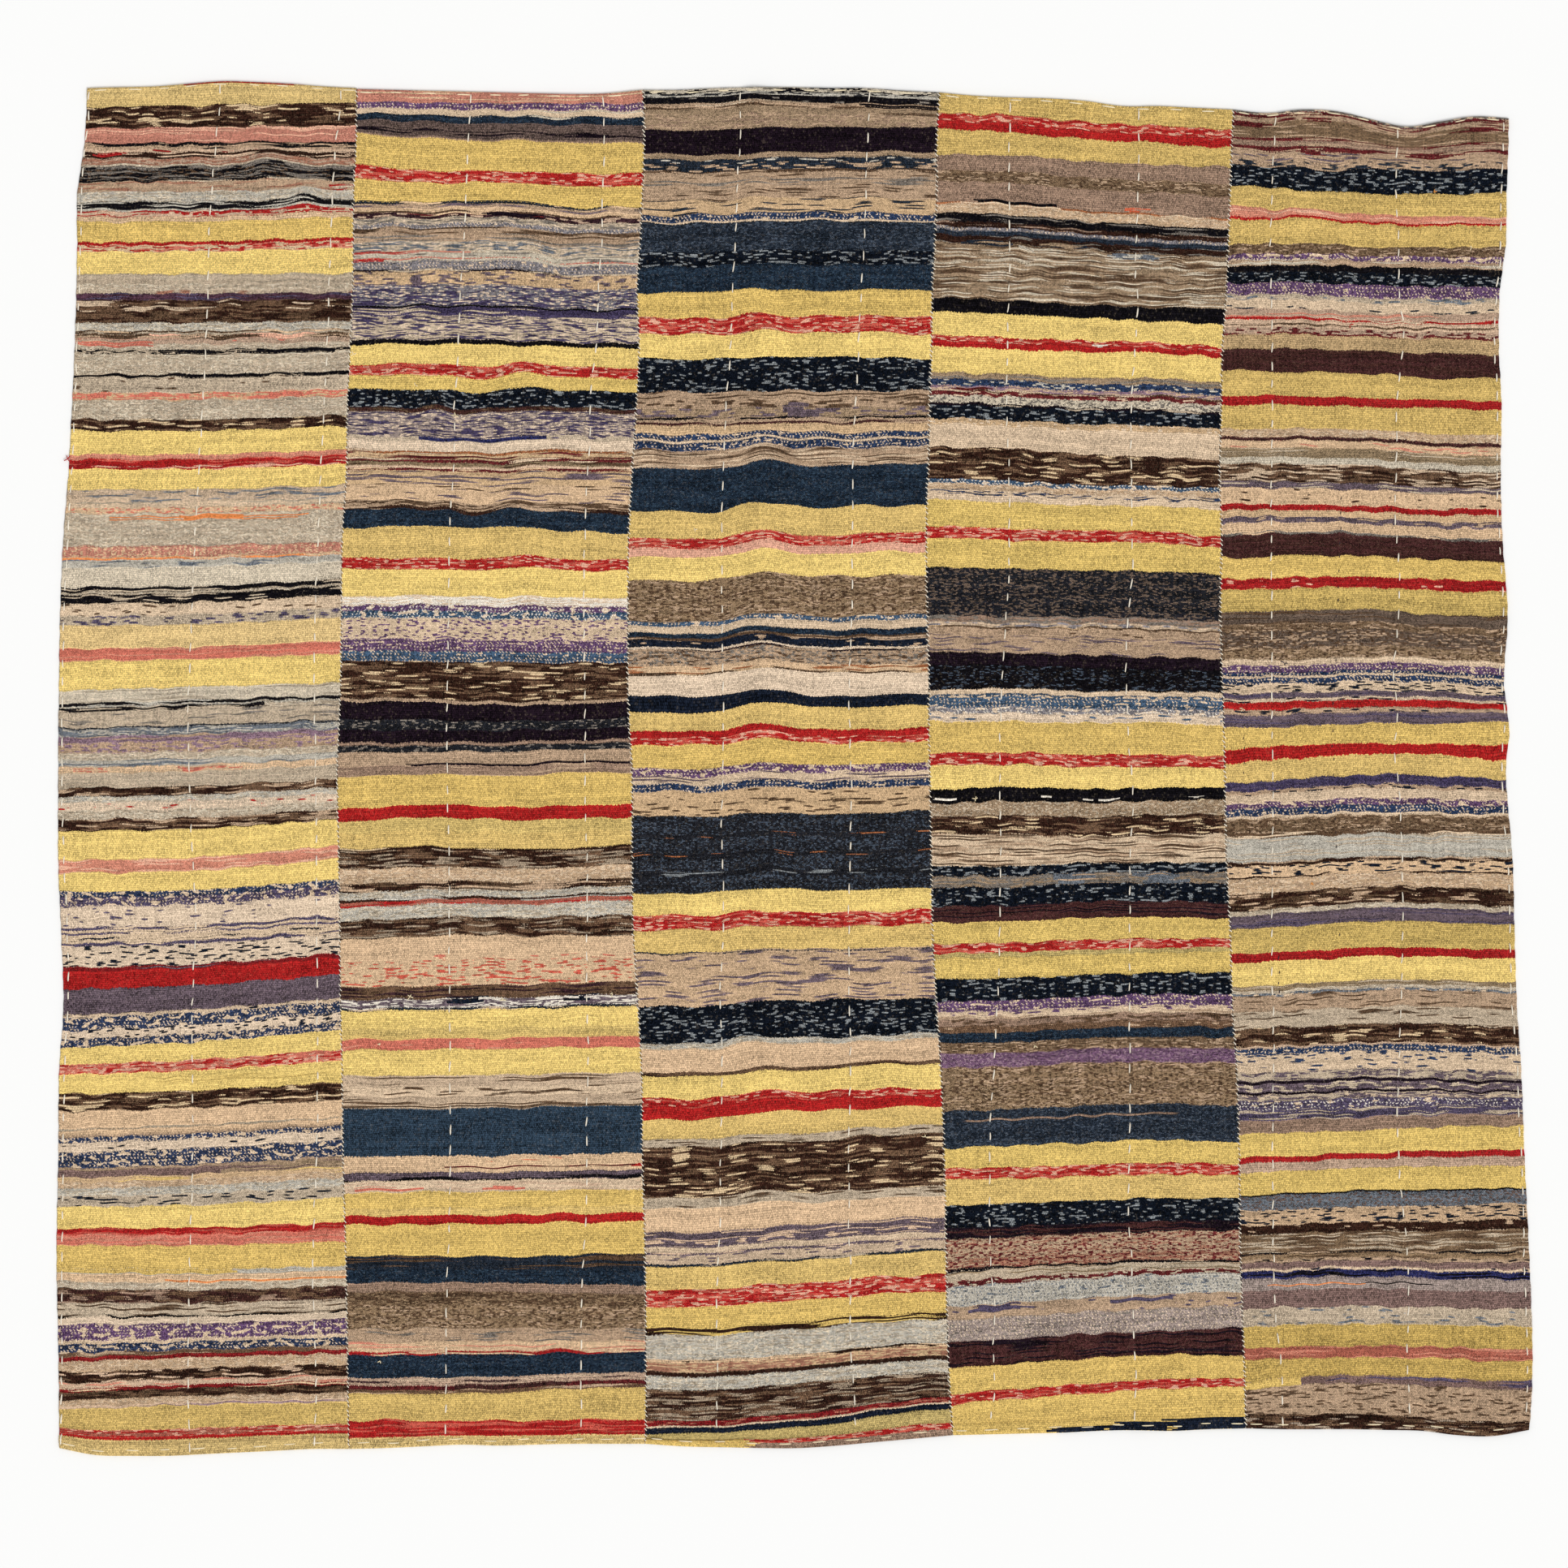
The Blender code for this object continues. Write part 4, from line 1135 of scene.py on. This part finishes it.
def fleckGroup():
    # Patches of another colour along each pick, thinner at their ends and broken up by the weave
    group, given, result = newGroup(
        "Weft Flecks",
        ("Along", "Picks", "Place", "Hash", "Fine", "Broad",
         "Cut", "Fineness", "Whole Picks", "Blotches", "Seed"),
        ("Mask",))
    taper, roughness, gathering = 0.07, 0.14, 0.22
    hashSpread, leanSpread, blotchRate = 97.0, 7.31, 0.42
    softBelow, softAbove = 0.015, 0.04
    across = calc(group, "MULTIPLY", given["Along"], given["Fineness"])
    lane = calc(group, "MULTIPLY", given["Hash"], hashSpread)
    lane = calc(group, "MULTIPLY", lane, calc(group, "SUBTRACT", 1.0, given["Blotches"]))
    blotch = calc(group, "MULTIPLY", calc(group, "MULTIPLY", given["Picks"], blotchRate), given["Blotches"])
    lane = calc(group, "ADD", calc(group, "ADD", lane, blotch), given["Seed"])
    value = noise(group, combine(group, across, lane))
    lean = calc(group, "FRACT", calc(group, "MULTIPLY_ADD", given["Hash"], leanSpread, given["Seed"]))
    value = addCentred(group, lean, given["Whole Picks"], value)
    value = addCentred(group, given["Fine"], roughness, value)
    value = addCentred(group, given["Broad"], gathering, value)
    rim = calc(group, "SUBTRACT", calc(group, "MULTIPLY", given["Place"], 2.0), 1.0)
    cut = calc(group, "MULTIPLY_ADD", calc(group, "MULTIPLY", rim, rim), taper, given["Cut"])
    low = calc(group, "SUBTRACT", cut, softBelow)
    high = calc(group, "ADD", cut, softAbove)
    connect(group, smoothStep(group, value, low, high), result["Mask"])
    return group


def tickGroup():
    # Slanting ticks where a light and a dark strand are twisted together
    group, given, result = newGroup("Twisted Ticks", ("Along", "Picks"), ("Mask",))
    pitch, slant, tickPicks, dropped = 4.2 * mm, 0.9, 1.9, 0.26
    sway, swellLength, rowShift = 0.9, 7 * mm, 7.0
    leastLean, leanSpread = 0.38, 0.24
    dashEdge, dashCore = 0.23, 0.11      # half lengths and half heights, as shares of the pitch and the row
    tallEdge, tallCore = 0.38, 0.22
    swellAcross = calc(group, "DIVIDE", given["Along"], swellLength)
    swell = noise(group, combine(group, swellAcross, given["Picks"]))
    picks = calc(group, "MULTIPLY_ADD", swell, sway, given["Picks"])
    level = calc(group, "DIVIDE", picks, tickPicks)
    row = calc(group, "FLOOR", level)
    inRow = calc(group, "FRACT", level)
    shift = chanceAt(group, W=row)
    tilt = calc(group, "MULTIPLY", calc(group, "SUBTRACT", shift, 0.5), slant)
    phase = calc(group, "MULTIPLY_ADD", shift, rowShift, calc(group, "DIVIDE", given["Along"], pitch))
    phase = calc(group, "MULTIPLY_ADD", inRow, tilt, phase)
    phase = calc(group, "MULTIPLY_ADD", swell, sway, phase)
    chance = chanceAt(group, Vector=combine(group, calc(group, "FLOOR", phase), row))
    lean = calc(group, "MULTIPLY_ADD", chance, leanSpread, leastLean)
    dash = calc(group, "ABSOLUTE", calc(group, "SUBTRACT", calc(group, "FRACT", phase), lean))
    dash = smoothStep(group, dash, dashEdge, dashCore)
    tall = calc(group, "ABSOLUTE", calc(group, "SUBTRACT", inRow, 0.5))
    tall = smoothStep(group, tall, tallEdge, tallCore)
    kept = calc(group, "GREATER_THAN", chance, dropped)
    connect(group, calc(group, "MULTIPLY", calc(group, "MULTIPLY", dash, tall), kept), result["Mask"])
    return group


def raggedGroup():
    # Where the next stripe's weft bites over the line between two stripes
    group, given, result = newGroup("Ragged Edge", ("Along", "Picks", "Edge"), ("Mask",))
    tooth, toothPicks, bite, softness = 1.7 * mm, 3.0, 1.35, 0.12
    across = calc(group, "DIVIDE", given["Along"], tooth)
    reach = noise(group, combine(group, across, calc(group, "DIVIDE", given["Picks"], toothPicks)))
    reach = calc(group, "MULTIPLY", calc(group, "SUBTRACT", reach, 0.5), bite)
    sameSide = calc(group, "GREATER_THAN", calc(group, "MULTIPLY", reach, given["Edge"]), 0.0)
    over = calc(group, "SUBTRACT", calc(group, "ABSOLUTE", reach), calc(group, "ABSOLUTE", given["Edge"]))
    over = smoothStep(group, over, -softness, softness)
    connect(group, calc(group, "MULTIPLY", sameSide, over), result["Mask"])
    return group


weaveValues = {
    "warpShows": 0.03,       # how much of the cream warp shows between the picks
    "warp": (205, 184, 150),
    "contrast": 1.35,        # of the grain in the lightest yarn
    "darkContrast": 3.4,     # more for the darkest
    "valueCurve": 0.45,      # how soon a yarn counts as dark
    "darkCurve": 1.6,
    "leastLight": 0.2,       # no grain is darker than this share of its yarn
    "relief": 0.5,
    "roughness": 0.95,
    "specular": 0.04,
}


def ragWeave(name, groups):
    # A panel's cloth, woven from the colours and patterns that its mesh carries
    material, tree, shader = newMaterial(name, weaveValues["roughness"], weaveValues["specular"])
    secondSeed, thirdSeed = 3.2, 31.7
    weaveMap = addNode(tree, "ShaderNodeUVMap", uv_map="Weave").outputs["UV"]
    layers = ("weftGround", "weftSecond", "weftThird", "weftPattern", "weftBody", "weftBeside", "stripeEdge")
    ground, second, third, pattern, body, beside, edge = (
        addNode(tree, "ShaderNodeAttribute", attribute_name=layer).outputs for layer in layers)
    kinds = separate(tree, pattern["Vector"])
    habits = separate(tree, body["Vector"])

    picks = addGroup(tree, groups["picks"], {"Weave": weaveMap, "Rate": habits["X"]})
    counted = {key: picks[key] for key in ("Along", "Picks", "Place", "Hash")}
    grain = addGroup(tree, groups["grain"], {**counted, "Pick": picks["Pick"]})
    fleckInputs = {**counted, "Fine": grain["Fine"], "Broad": grain["Broad"]}
    fleckInputs.update({"Whole Picks": kinds["Z"], "Blotches": habits["Y"]})
    thirdMask = addGroup(tree, groups["flecks"], {
        **fleckInputs, "Cut": third["Alpha"], "Fineness": kinds["Y"], "Seed": thirdSeed})["Mask"]
    secondMask = addGroup(tree, groups["flecks"], {
        **fleckInputs, "Cut": second["Alpha"], "Fineness": kinds["X"], "Seed": secondSeed})["Mask"]
    place = {"Along": picks["Along"], "Picks": picks["Picks"]}
    ticks = addGroup(tree, groups["ticks"], place)["Mask"]
    ticks = calc(tree, "MULTIPLY", ticks, pattern["Alpha"])
    ragged = addGroup(tree, groups["ragged"], {**place, "Edge": edge["Fac"]})["Mask"]

    colour = mixColour(tree, thirdMask, ground["Color"], third["Color"])
    colour = mixColour(tree, calc(tree, "MAXIMUM", secondMask, ticks), colour, second["Color"])
    colour = mixColour(tree, ragged, colour, beside["Color"])
    warpMask = calc(tree, "MULTIPLY", grain["Warp"], weaveValues["warpShows"])
    colour = mixColour(tree, warpMask, colour, (*linear(weaveValues["warp"]), 1))
    # Dark yarn shows its weave, and the painted shade between its picks and warp ends, more strongly than
    # light yarn
    value = addNode(tree, "ShaderNodeSeparateColor", {"Color": colour}, mode="HSV").outputs[2]
    lightness = calc(tree, "POWER", value, weaveValues["valueCurve"])
    darkness = calc(tree, "SUBTRACT", 1.0, lightness, clamp=True)
    darkness = calc(tree, "POWER", darkness, weaveValues["darkCurve"])
    contrast = calc(tree, "MULTIPLY_ADD", darkness, weaveValues["darkContrast"], weaveValues["contrast"])
    brightness = calc(tree, "MULTIPLY_ADD", grain["UnevennessAndPaintedShade"], contrast, 1.0)
    brightness = calc(tree, "MAXIMUM", brightness, weaveValues["leastLight"])
    addFace(tree, shader, colour, brightness, (grain["Height"], weaveValues["relief"], 1.0))
    return material


print("Shader groups")
shaderGroups = {
    "picks": pickGroup(),
    "flecks": fleckGroup(),
    "ticks": tickGroup(),
    "ragged": raggedGroup(),
    "grain": grainGroup(),
}

floorName = "Floor"
for panelNumber in range(1, len(panels) + 1):
    piece, width, length = buildPanel(panelNumber)
    piece.data.materials.append(ragWeave(f"panel{panelNumber}RagWeave", shaderGroups))
    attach(piece, "root")
    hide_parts(f"panel_{panelNumber}")
    print(f"Panel {panelNumber}: {len(piece.data.polygons)} faces, {width:.3f} by {length:.3f} m")


# Sewing

thread = {
    "colour": (236, 226, 208),
    "hemColour": (240, 224, 188),
    "darkColour": (58, 48, 50),
    "runningRadius": 0.8 * mm,
    "runningArch": 0.6 * mm,
    "hemRadius": 0.7 * mm,
    "hemArch": 0.45 * mm,
    "whipRadius": 0.56 * mm,
    "whipArch": 0.5 * mm,
    "looseRadius": 0.55 * mm,
    "looseArch": 0.9 * mm,
    "darkRadius": 0.6 * mm,
    "darkArch": 0.3 * mm,
    "sink": 0.3 * mm,         # how far the stitches draw themselves into the cloth
    "sides": 6,
    "roughness": 0.9,
    "specular": 0.1,
    "whipPitch": 5.7 * mm,
    "whipReach": {1: 1.3 * mm, 2: 1.8 * mm, 3: 1.9 * mm, 4: 1.8 * mm},    # seam by seam
    "lastAbove": 14,          # the last running stitch starts this far above the bottom edge, in pixels
    "lastBefore": 12,         # and the last hem stitch this far before the selvedge
}

# Lengths of the running stitches and of those along the hems, from the least to the most, in pixels
spans = {
    "dash": (9, 13),          # a running stitch
    "gap": (11, 16),          # to the next
    "start": (3, 6),          # from the top edge to the first
    "sway": (-0.7, 0.7),      # of its upper end, to the east
    "lean": (-0.5, 1.0),      # of its lower end, to the west
    "hemDash": (13, 19),      # the same for a hem stitch, from west to east
    "hemGap": (18, 27),
    "hemStart": (3, 9),
    "hemSway": (-0.8, 0.8),
    "topHemInset": (2.8, 4.2),    # how far a hem stitch lies inside the edge
    "bottomHemInset": (5.5, 8),
}


def hemMiddle(panel, hem):
    # The height of a hem's edge in the middle of the panel
    return panel[hem][len(panel[hem]) // 2] * mm


def hemEdges(panel, x):
    # The heights of the top and the bottom edge of a panel at places across it
    west, east = panel["sides"]
    found = []
    for hem in ("topHem", "bottomHem"):
        y = hemMiddle(panel, hem)
        westX, eastX = sideX(west, y), sideX(east, y)
        found.append(hemY(panel[hem], (x - westX) / (eastX - westX)))
    return found


def hemRise(fromEnd):
    # How much higher the face is at a hem
    return thicknessAt(fromEnd) - cloth["thickness"]


def runningStitches(panel, text, dice):
    # The two ends of each stitch of one row, from the top hem down
    heights, places = readRow(text)
    pixel = picture["pixel"]
    y = hemEdges(panel, places[-1])[0] - dice.uniform(*spans["start"]) * pixel
    low = hemEdges(panel, places[0])[1] + thread["lastAbove"] * pixel
    stitches = []
    while y > low:
        dash = dice.uniform(*spans["dash"]) * pixel
        topX = float(smoothCurve(heights, places, y)) + dice.uniform(*spans["sway"]) * pixel
        lowX = float(smoothCurve(heights, places, y - dash)) - dice.uniform(*spans["lean"]) * pixel
        stitches.append((topX, y, lowX, y - dash))
        y -= dash + dice.uniform(*spans["gap"]) * pixel
    return stitches


def hemStitches(panel, hem, dice):
    # The two ends of each stitch along the top or the bottom hem, from the west
    west, east = panel["sides"]
    pixel = picture["pixel"]
    edge, inward = (0, -1) if hem == "topHem" else (1, 1)
    x = float(sideX(west, hemMiddle(panel, hem))) + dice.uniform(*spans["hemStart"]) * pixel
    lastX = float(sideX(east, hemMiddle(panel, hem))) - thread["lastBefore"] * pixel
    stitches = []
    while x < lastX:
        dash = dice.uniform(*spans["hemDash"]) * pixel
        inset = dice.uniform(*spans[hem + "Inset"]) * pixel * inward
        startY = hemEdges(panel, x)[edge] + inset
        endY = hemEdges(panel, x + dash)[edge] + inset + dice.uniform(*spans["hemSway"]) * pixel
        stitches.append((x, startY, x + dash, endY))
        x += dash + dice.uniform(*spans["hemGap"]) * pixel
    return stitches


def whipStitches(side, top, bottom, usualReach, dice):
    # Slanting stitches over a seam, from the top down
    margin = 3 * mm
    sway, drops = (-0.3, 0.3), (1.3, 2.1)               # mm
    reachSpread, pitchSpread = (0.85, 1.2), (0.85, 1.15)
    y = top - margin
    stitches = []
    while y > bottom + margin:
        x = float(sideX(side, y)) + dice.uniform(*sway) * mm
        reach = usualReach * dice.uniform(*reachSpread)
        drop = dice.uniform(*drops) * mm
        stitches.append((x - reach, y + drop, x + reach, y - drop))
        y -= thread["whipPitch"] * dice.uniform(*pitchSpread)
    return stitches


def threadPiece(name, stitches, radius, arch, riseAt, material):
    # One mesh of many stitches: each comes up out of the cloth, lies on it and goes down again. The two rows
    # of numbers are how high and how thick a stitch is from end to end.
    rise = np.array((-0.9, 0.3, 0.9, 1.0, 0.9, 0.3, -0.9))
    taper = np.array((0.75, 0.95, 1.0, 1.05, 1.0, 0.95, 0.75))
    bows, thicknesses = (-0.3, 0.3), (0.85, 1.15)
    ends = np.array(stitches, float)
    count, rings, sides = len(ends), len(rise), thread["sides"]
    dice = np.random.default_rng(count)
    along = np.linspace(0, 1, rings)
    bow = dice.uniform(*bows, (count, 1)) * radius * np.sin(math.pi * along)
    x = ends[:, 0:1] + (ends[:, 2:3] - ends[:, 0:1]) * along + bow
    y = ends[:, 1:2] + (ends[:, 3:4] - ends[:, 1:2]) * along
    z = lift(x, y) + cloth["thickness"] + riseAt(x, y) + arch * rise - thread["sink"]
    centres = np.stack((x, y, z), axis=-1)
    ahead = np.gradient(centres, axis=1)
    ahead /= np.linalg.norm(ahead, axis=-1, keepdims=True)
    beside = np.cross(ahead, (0.0, 0.0, 1.0))
    beside /= np.linalg.norm(beside, axis=-1, keepdims=True)
    above = np.cross(beside, ahead)
    radii = radius * taper * dice.uniform(*thicknesses, (count, 1))
    turns = 2 * math.pi * np.arange(sides)[:, None] / sides
    outward = np.cos(turns) * beside[:, :, None] + np.sin(turns) * above[:, :, None]
    points = centres[:, :, None] + radii[:, :, None, None] * outward
    index = np.arange(count * rings * sides).reshape(count, rings, sides)
    turned = np.roll(index, -1, axis=2)
    walls = np.stack((index[:, :-1], turned[:, :-1], turned[:, 1:], index[:, 1:]), axis=-1).reshape(-1, 4)
    caps = np.concatenate((index[:, 0, ::-1], index[:, -1]))
    mesh = bpy.data.meshes.new(name)
    mesh.from_pydata(points.reshape(-1, 3).tolist(), [], walls.tolist() + caps.tolist())
    mesh.shade_smooth()
    mesh.materials.append(material)
    return addObject(name, mesh)


def cottonThread(name, colour):
    # Fluffy thread, a little darker and lighter with age
    fluffScale, fluffContrast, fluffRelief = 900.0, 0.5, 0.4 * mm
    ageScale, ageContrast = 35.0, 0.3
    material, tree, shader = newMaterial(name, thread["roughness"], thread["specular"])
    spot = addNode(tree, "ShaderNodeTexCoord").outputs["Object"]
    inputs = {"Vector": spot, "Scale": fluffScale, "Detail": 2.0}
    fluff = addNode(tree, "ShaderNodeTexNoise", inputs).outputs["Fac"]
    inputs = {"Vector": spot, "Scale": ageScale, "Detail": 1.0}
    ageing = addNode(tree, "ShaderNodeTexNoise", inputs).outputs["Fac"]
    total = addCentred(tree, fluff, fluffContrast, 1.0)
    total = addCentred(tree, ageing, ageContrast, total)
    addFace(tree, shader, linear(colour), total, (fluff, 0.5, fluffRelief))
    return material


sewingThread = cottonThread("sewingThread", thread["colour"])
hemThread = cottonThread("hemThread", thread["hemColour"])
for panelNumber in range(1, len(panels) + 1):
    panel = panels[f"panel{panelNumber}"]
    dice = random.Random(seeds["panelSewing"] + panelNumber)
    stitches = []
    for text in panel["stitchRows"]:
        stitches += runningStitches(panel, text, dice)
    turned = hemStitches(panel, "topHem", dice) + hemStitches(panel, "bottomHem", dice)

    def riseAt(x, y):
        top, bottom = hemEdges(panel, x)
        return hemRise(np.minimum(top - y, y - bottom))

    running = threadPiece(f"panel{panelNumber}RunningStitches", stitches, thread["runningRadius"],
                          thread["runningArch"], riseAt, sewingThread)
    hemming = threadPiece(f"panel{panelNumber}HemStitches", turned, thread["hemRadius"],
                          thread["hemArch"], riseAt, hemThread)
    for sewing in (running, hemming):
        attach(sewing, "root")
    print(f"Panel {panelNumber}: {len(stitches)} running stitches, {len(turned)} along the hems")

for seamNumber in range(1, len(panels)):
    dice = random.Random(seeds["seamSewing"] + seamNumber)
    west, east = panels[f"panel{seamNumber}"], panels[f"panel{seamNumber + 1}"]
    seamTop = min(west["topHem"][-1], east["topHem"][0]) * mm
    seamBottom = max(west["bottomHem"][-1], east["bottomHem"][0]) * mm
    reach = thread["whipReach"][seamNumber]
    stitches = whipStitches(f"seam{seamNumber}", seamTop, seamBottom, reach, dice)

    def riseAt(x, y):
        return hemRise(np.minimum(seamTop - y, y - seamBottom))

    whipping = threadPiece(f"seam{seamNumber}WhipStitches", stitches, thread["whipRadius"],
                           thread["whipArch"], riseAt, sewingThread)
    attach(whipping, "root")
    print(f"Seam {seamNumber}: {len(stitches)} whip stitches")


# Loose ends and knots, by their thread: the pixel at each and its number of strands
tufts = {
    "cream": (
        (856, 653, 3), (436, 438, 3), (511, 475, 2), (561, 512, 3), (505, 1228, 4), (620, 1232, 3),
        (755, 1225, 3), (469, 1676, 2), (469, 1285, 2), (1140, 1401, 3), (1202, 984, 4), (1531, 873, 3),
        (1813, 305, 2), (997, 1545, 1), (660, 1170, 1), (1275, 1288, 2), (1480, 984, 2)),
    "red": ((84, 566, 4), (1662, 401, 2)),
    "orange": ((1766, 238, 2), (1749, 278, 2), (1616, 1087, 2)),
    "navy": ((1583, 817, 3),),
}
tuftColours = {
    "cream": (232, 216, 178), "red": (176, 40, 36), "orange": (222, 150, 78), "navy": (36, 40, 60),
}

# Small dark stitches in single file: from pixel, to pixel, and how many
darkRows = (
    ((1653, 612), (1642, 900), 17), ((1642, 917), (1651, 1150), 14),
    ((1533, 875), (1533, 952), 6), ((1576, 1180), (1576, 1222), 4),
)


def tuftStitches(places, dice):
    # The strands of some tufts, each turned well away from the one before
    turns, reaches, spread = (0.9, 2.2), (3.0, 5.5), (-0.5, 0.5)     # radians, pixels and mm
    stitches = []
    for px, py, strands in places:
        turn = dice.uniform(0, 2 * math.pi)
        for _ in range(strands):
            turn += dice.uniform(*turns)
            reach = dice.uniform(*reaches) * picture["pixel"]
            x = worldX(px) + dice.uniform(*spread) * mm
            y = worldY(py) + dice.uniform(*spread) * mm
            stitches.append((x, y, x + reach * math.cos(turn), y + reach * math.sin(turn)))
    return stitches


def darkStitches(dice):
    # Short stitches down the cloth, in single file. Their length, lean and sway are in pixels.
    length, lean, swayX, swayY = 4, 0.5, (-1, 1), (-2, 2)
    stitches = []
    for (startX, startY), (endX, endY), count in darkRows:
        for k in range(count):
            px = startX + (endX - startX) * k / (count - 1) + dice.uniform(*swayX)
            py = startY + (endY - startY) * k / (count - 1) + dice.uniform(*swayY)
            stitches.append((worldX(px), worldY(py), worldX(px - lean), worldY(py + length)))
    return stitches


def levelRise(x, y):
    # Away from the hems the face is no higher than usual
    return np.zeros_like(x)


dice = random.Random(seeds["looseEnds"])
for colourName, places in tufts.items():
    tuftThread = cottonThread(colourName + "Thread", tuftColours[colourName])
    ends = tuftStitches(places, dice)
    tuft = threadPiece(colourName + "LooseEnds", ends, thread["looseRadius"], thread["looseArch"],
                       levelRise, tuftThread)
    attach(tuft, "root")

darkSewing = threadPiece("darkStitches", darkStitches(dice), thread["darkRadius"], thread["darkArch"],
                         levelRise, cottonThread("darkThread", thread["darkColour"]))
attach(darkSewing, "root")
print("Loose ends and dark stitches")


# Floor, light and camera

studio = {
    "floorSize": 9.0,
    "floorColour": (246, 246, 245),
    "floorDrop": 0.3 * mm,
    "floorRoughness": 0.9,
    "floorSpecular": 0.1,
    "cameraHeight": 4.2,
    "sensorWidth": 36,        # mm
    "farthest": 50,
    "skyStrength": 0.62,
    "keyStrength": 1.75,
    "keySoftness": 24,        # degrees across
    "keyTilt": (38, 0, 40),   # degrees
}


def buildFloor():
    half = studio["floorSize"] / 2
    mesh = bpy.data.meshes.new(floorName)
    z = -studio["floorDrop"]
    corners = [(-half, -half, z), (half, -half, z), (half, half, z), (-half, half, z)]
    mesh.from_pydata(corners, [], [(0, 1, 2, 3)])
    material, _, shader = newMaterial("paleFloor", studio["floorRoughness"], studio["floorSpecular"])
    shader.inputs["Base Color"].default_value = (*linear(studio["floorColour"]), 1)
    mesh.materials.append(material)
    floor = addObject(floorName, mesh)


def buildLight():
    world = bpy.data.worlds.new("Studio")
    world.use_nodes = True
    world.node_tree.nodes["Background"].inputs["Color"].default_value = (1, 1, 1, 1)
    world.node_tree.nodes["Background"].inputs["Strength"].default_value = studio["skyStrength"]
    bpy.context.scene.world = world
    lamp = bpy.data.lights.new("Key", "SUN")
    lamp.energy = studio["keyStrength"]
    lamp.angle = math.radians(studio["keySoftness"])
    key = addObject("Key", lamp)
    key.rotation_euler = [math.radians(part) for part in studio["keyTilt"]]


def buildCamera():
    lens = bpy.data.cameras.new("Camera")
    lens.sensor_width = studio["sensorWidth"]
    half = picture["side"] * picture["pixel"] / 2
    lens.lens = lens.sensor_width / 2 * studio["cameraHeight"] / half
    lens.clip_end = studio["farthest"]
    camera = addObject("Camera", lens)
    middle = picture["side"] / 2
    camera.location = (worldX(middle), worldY(middle), studio["cameraHeight"])
    bpy.context.scene.camera = camera


buildFloor()
buildLight()
buildCamera()
bpy.context.scene.view_settings.view_transform = "Standard"
print("Floor, light and camera")
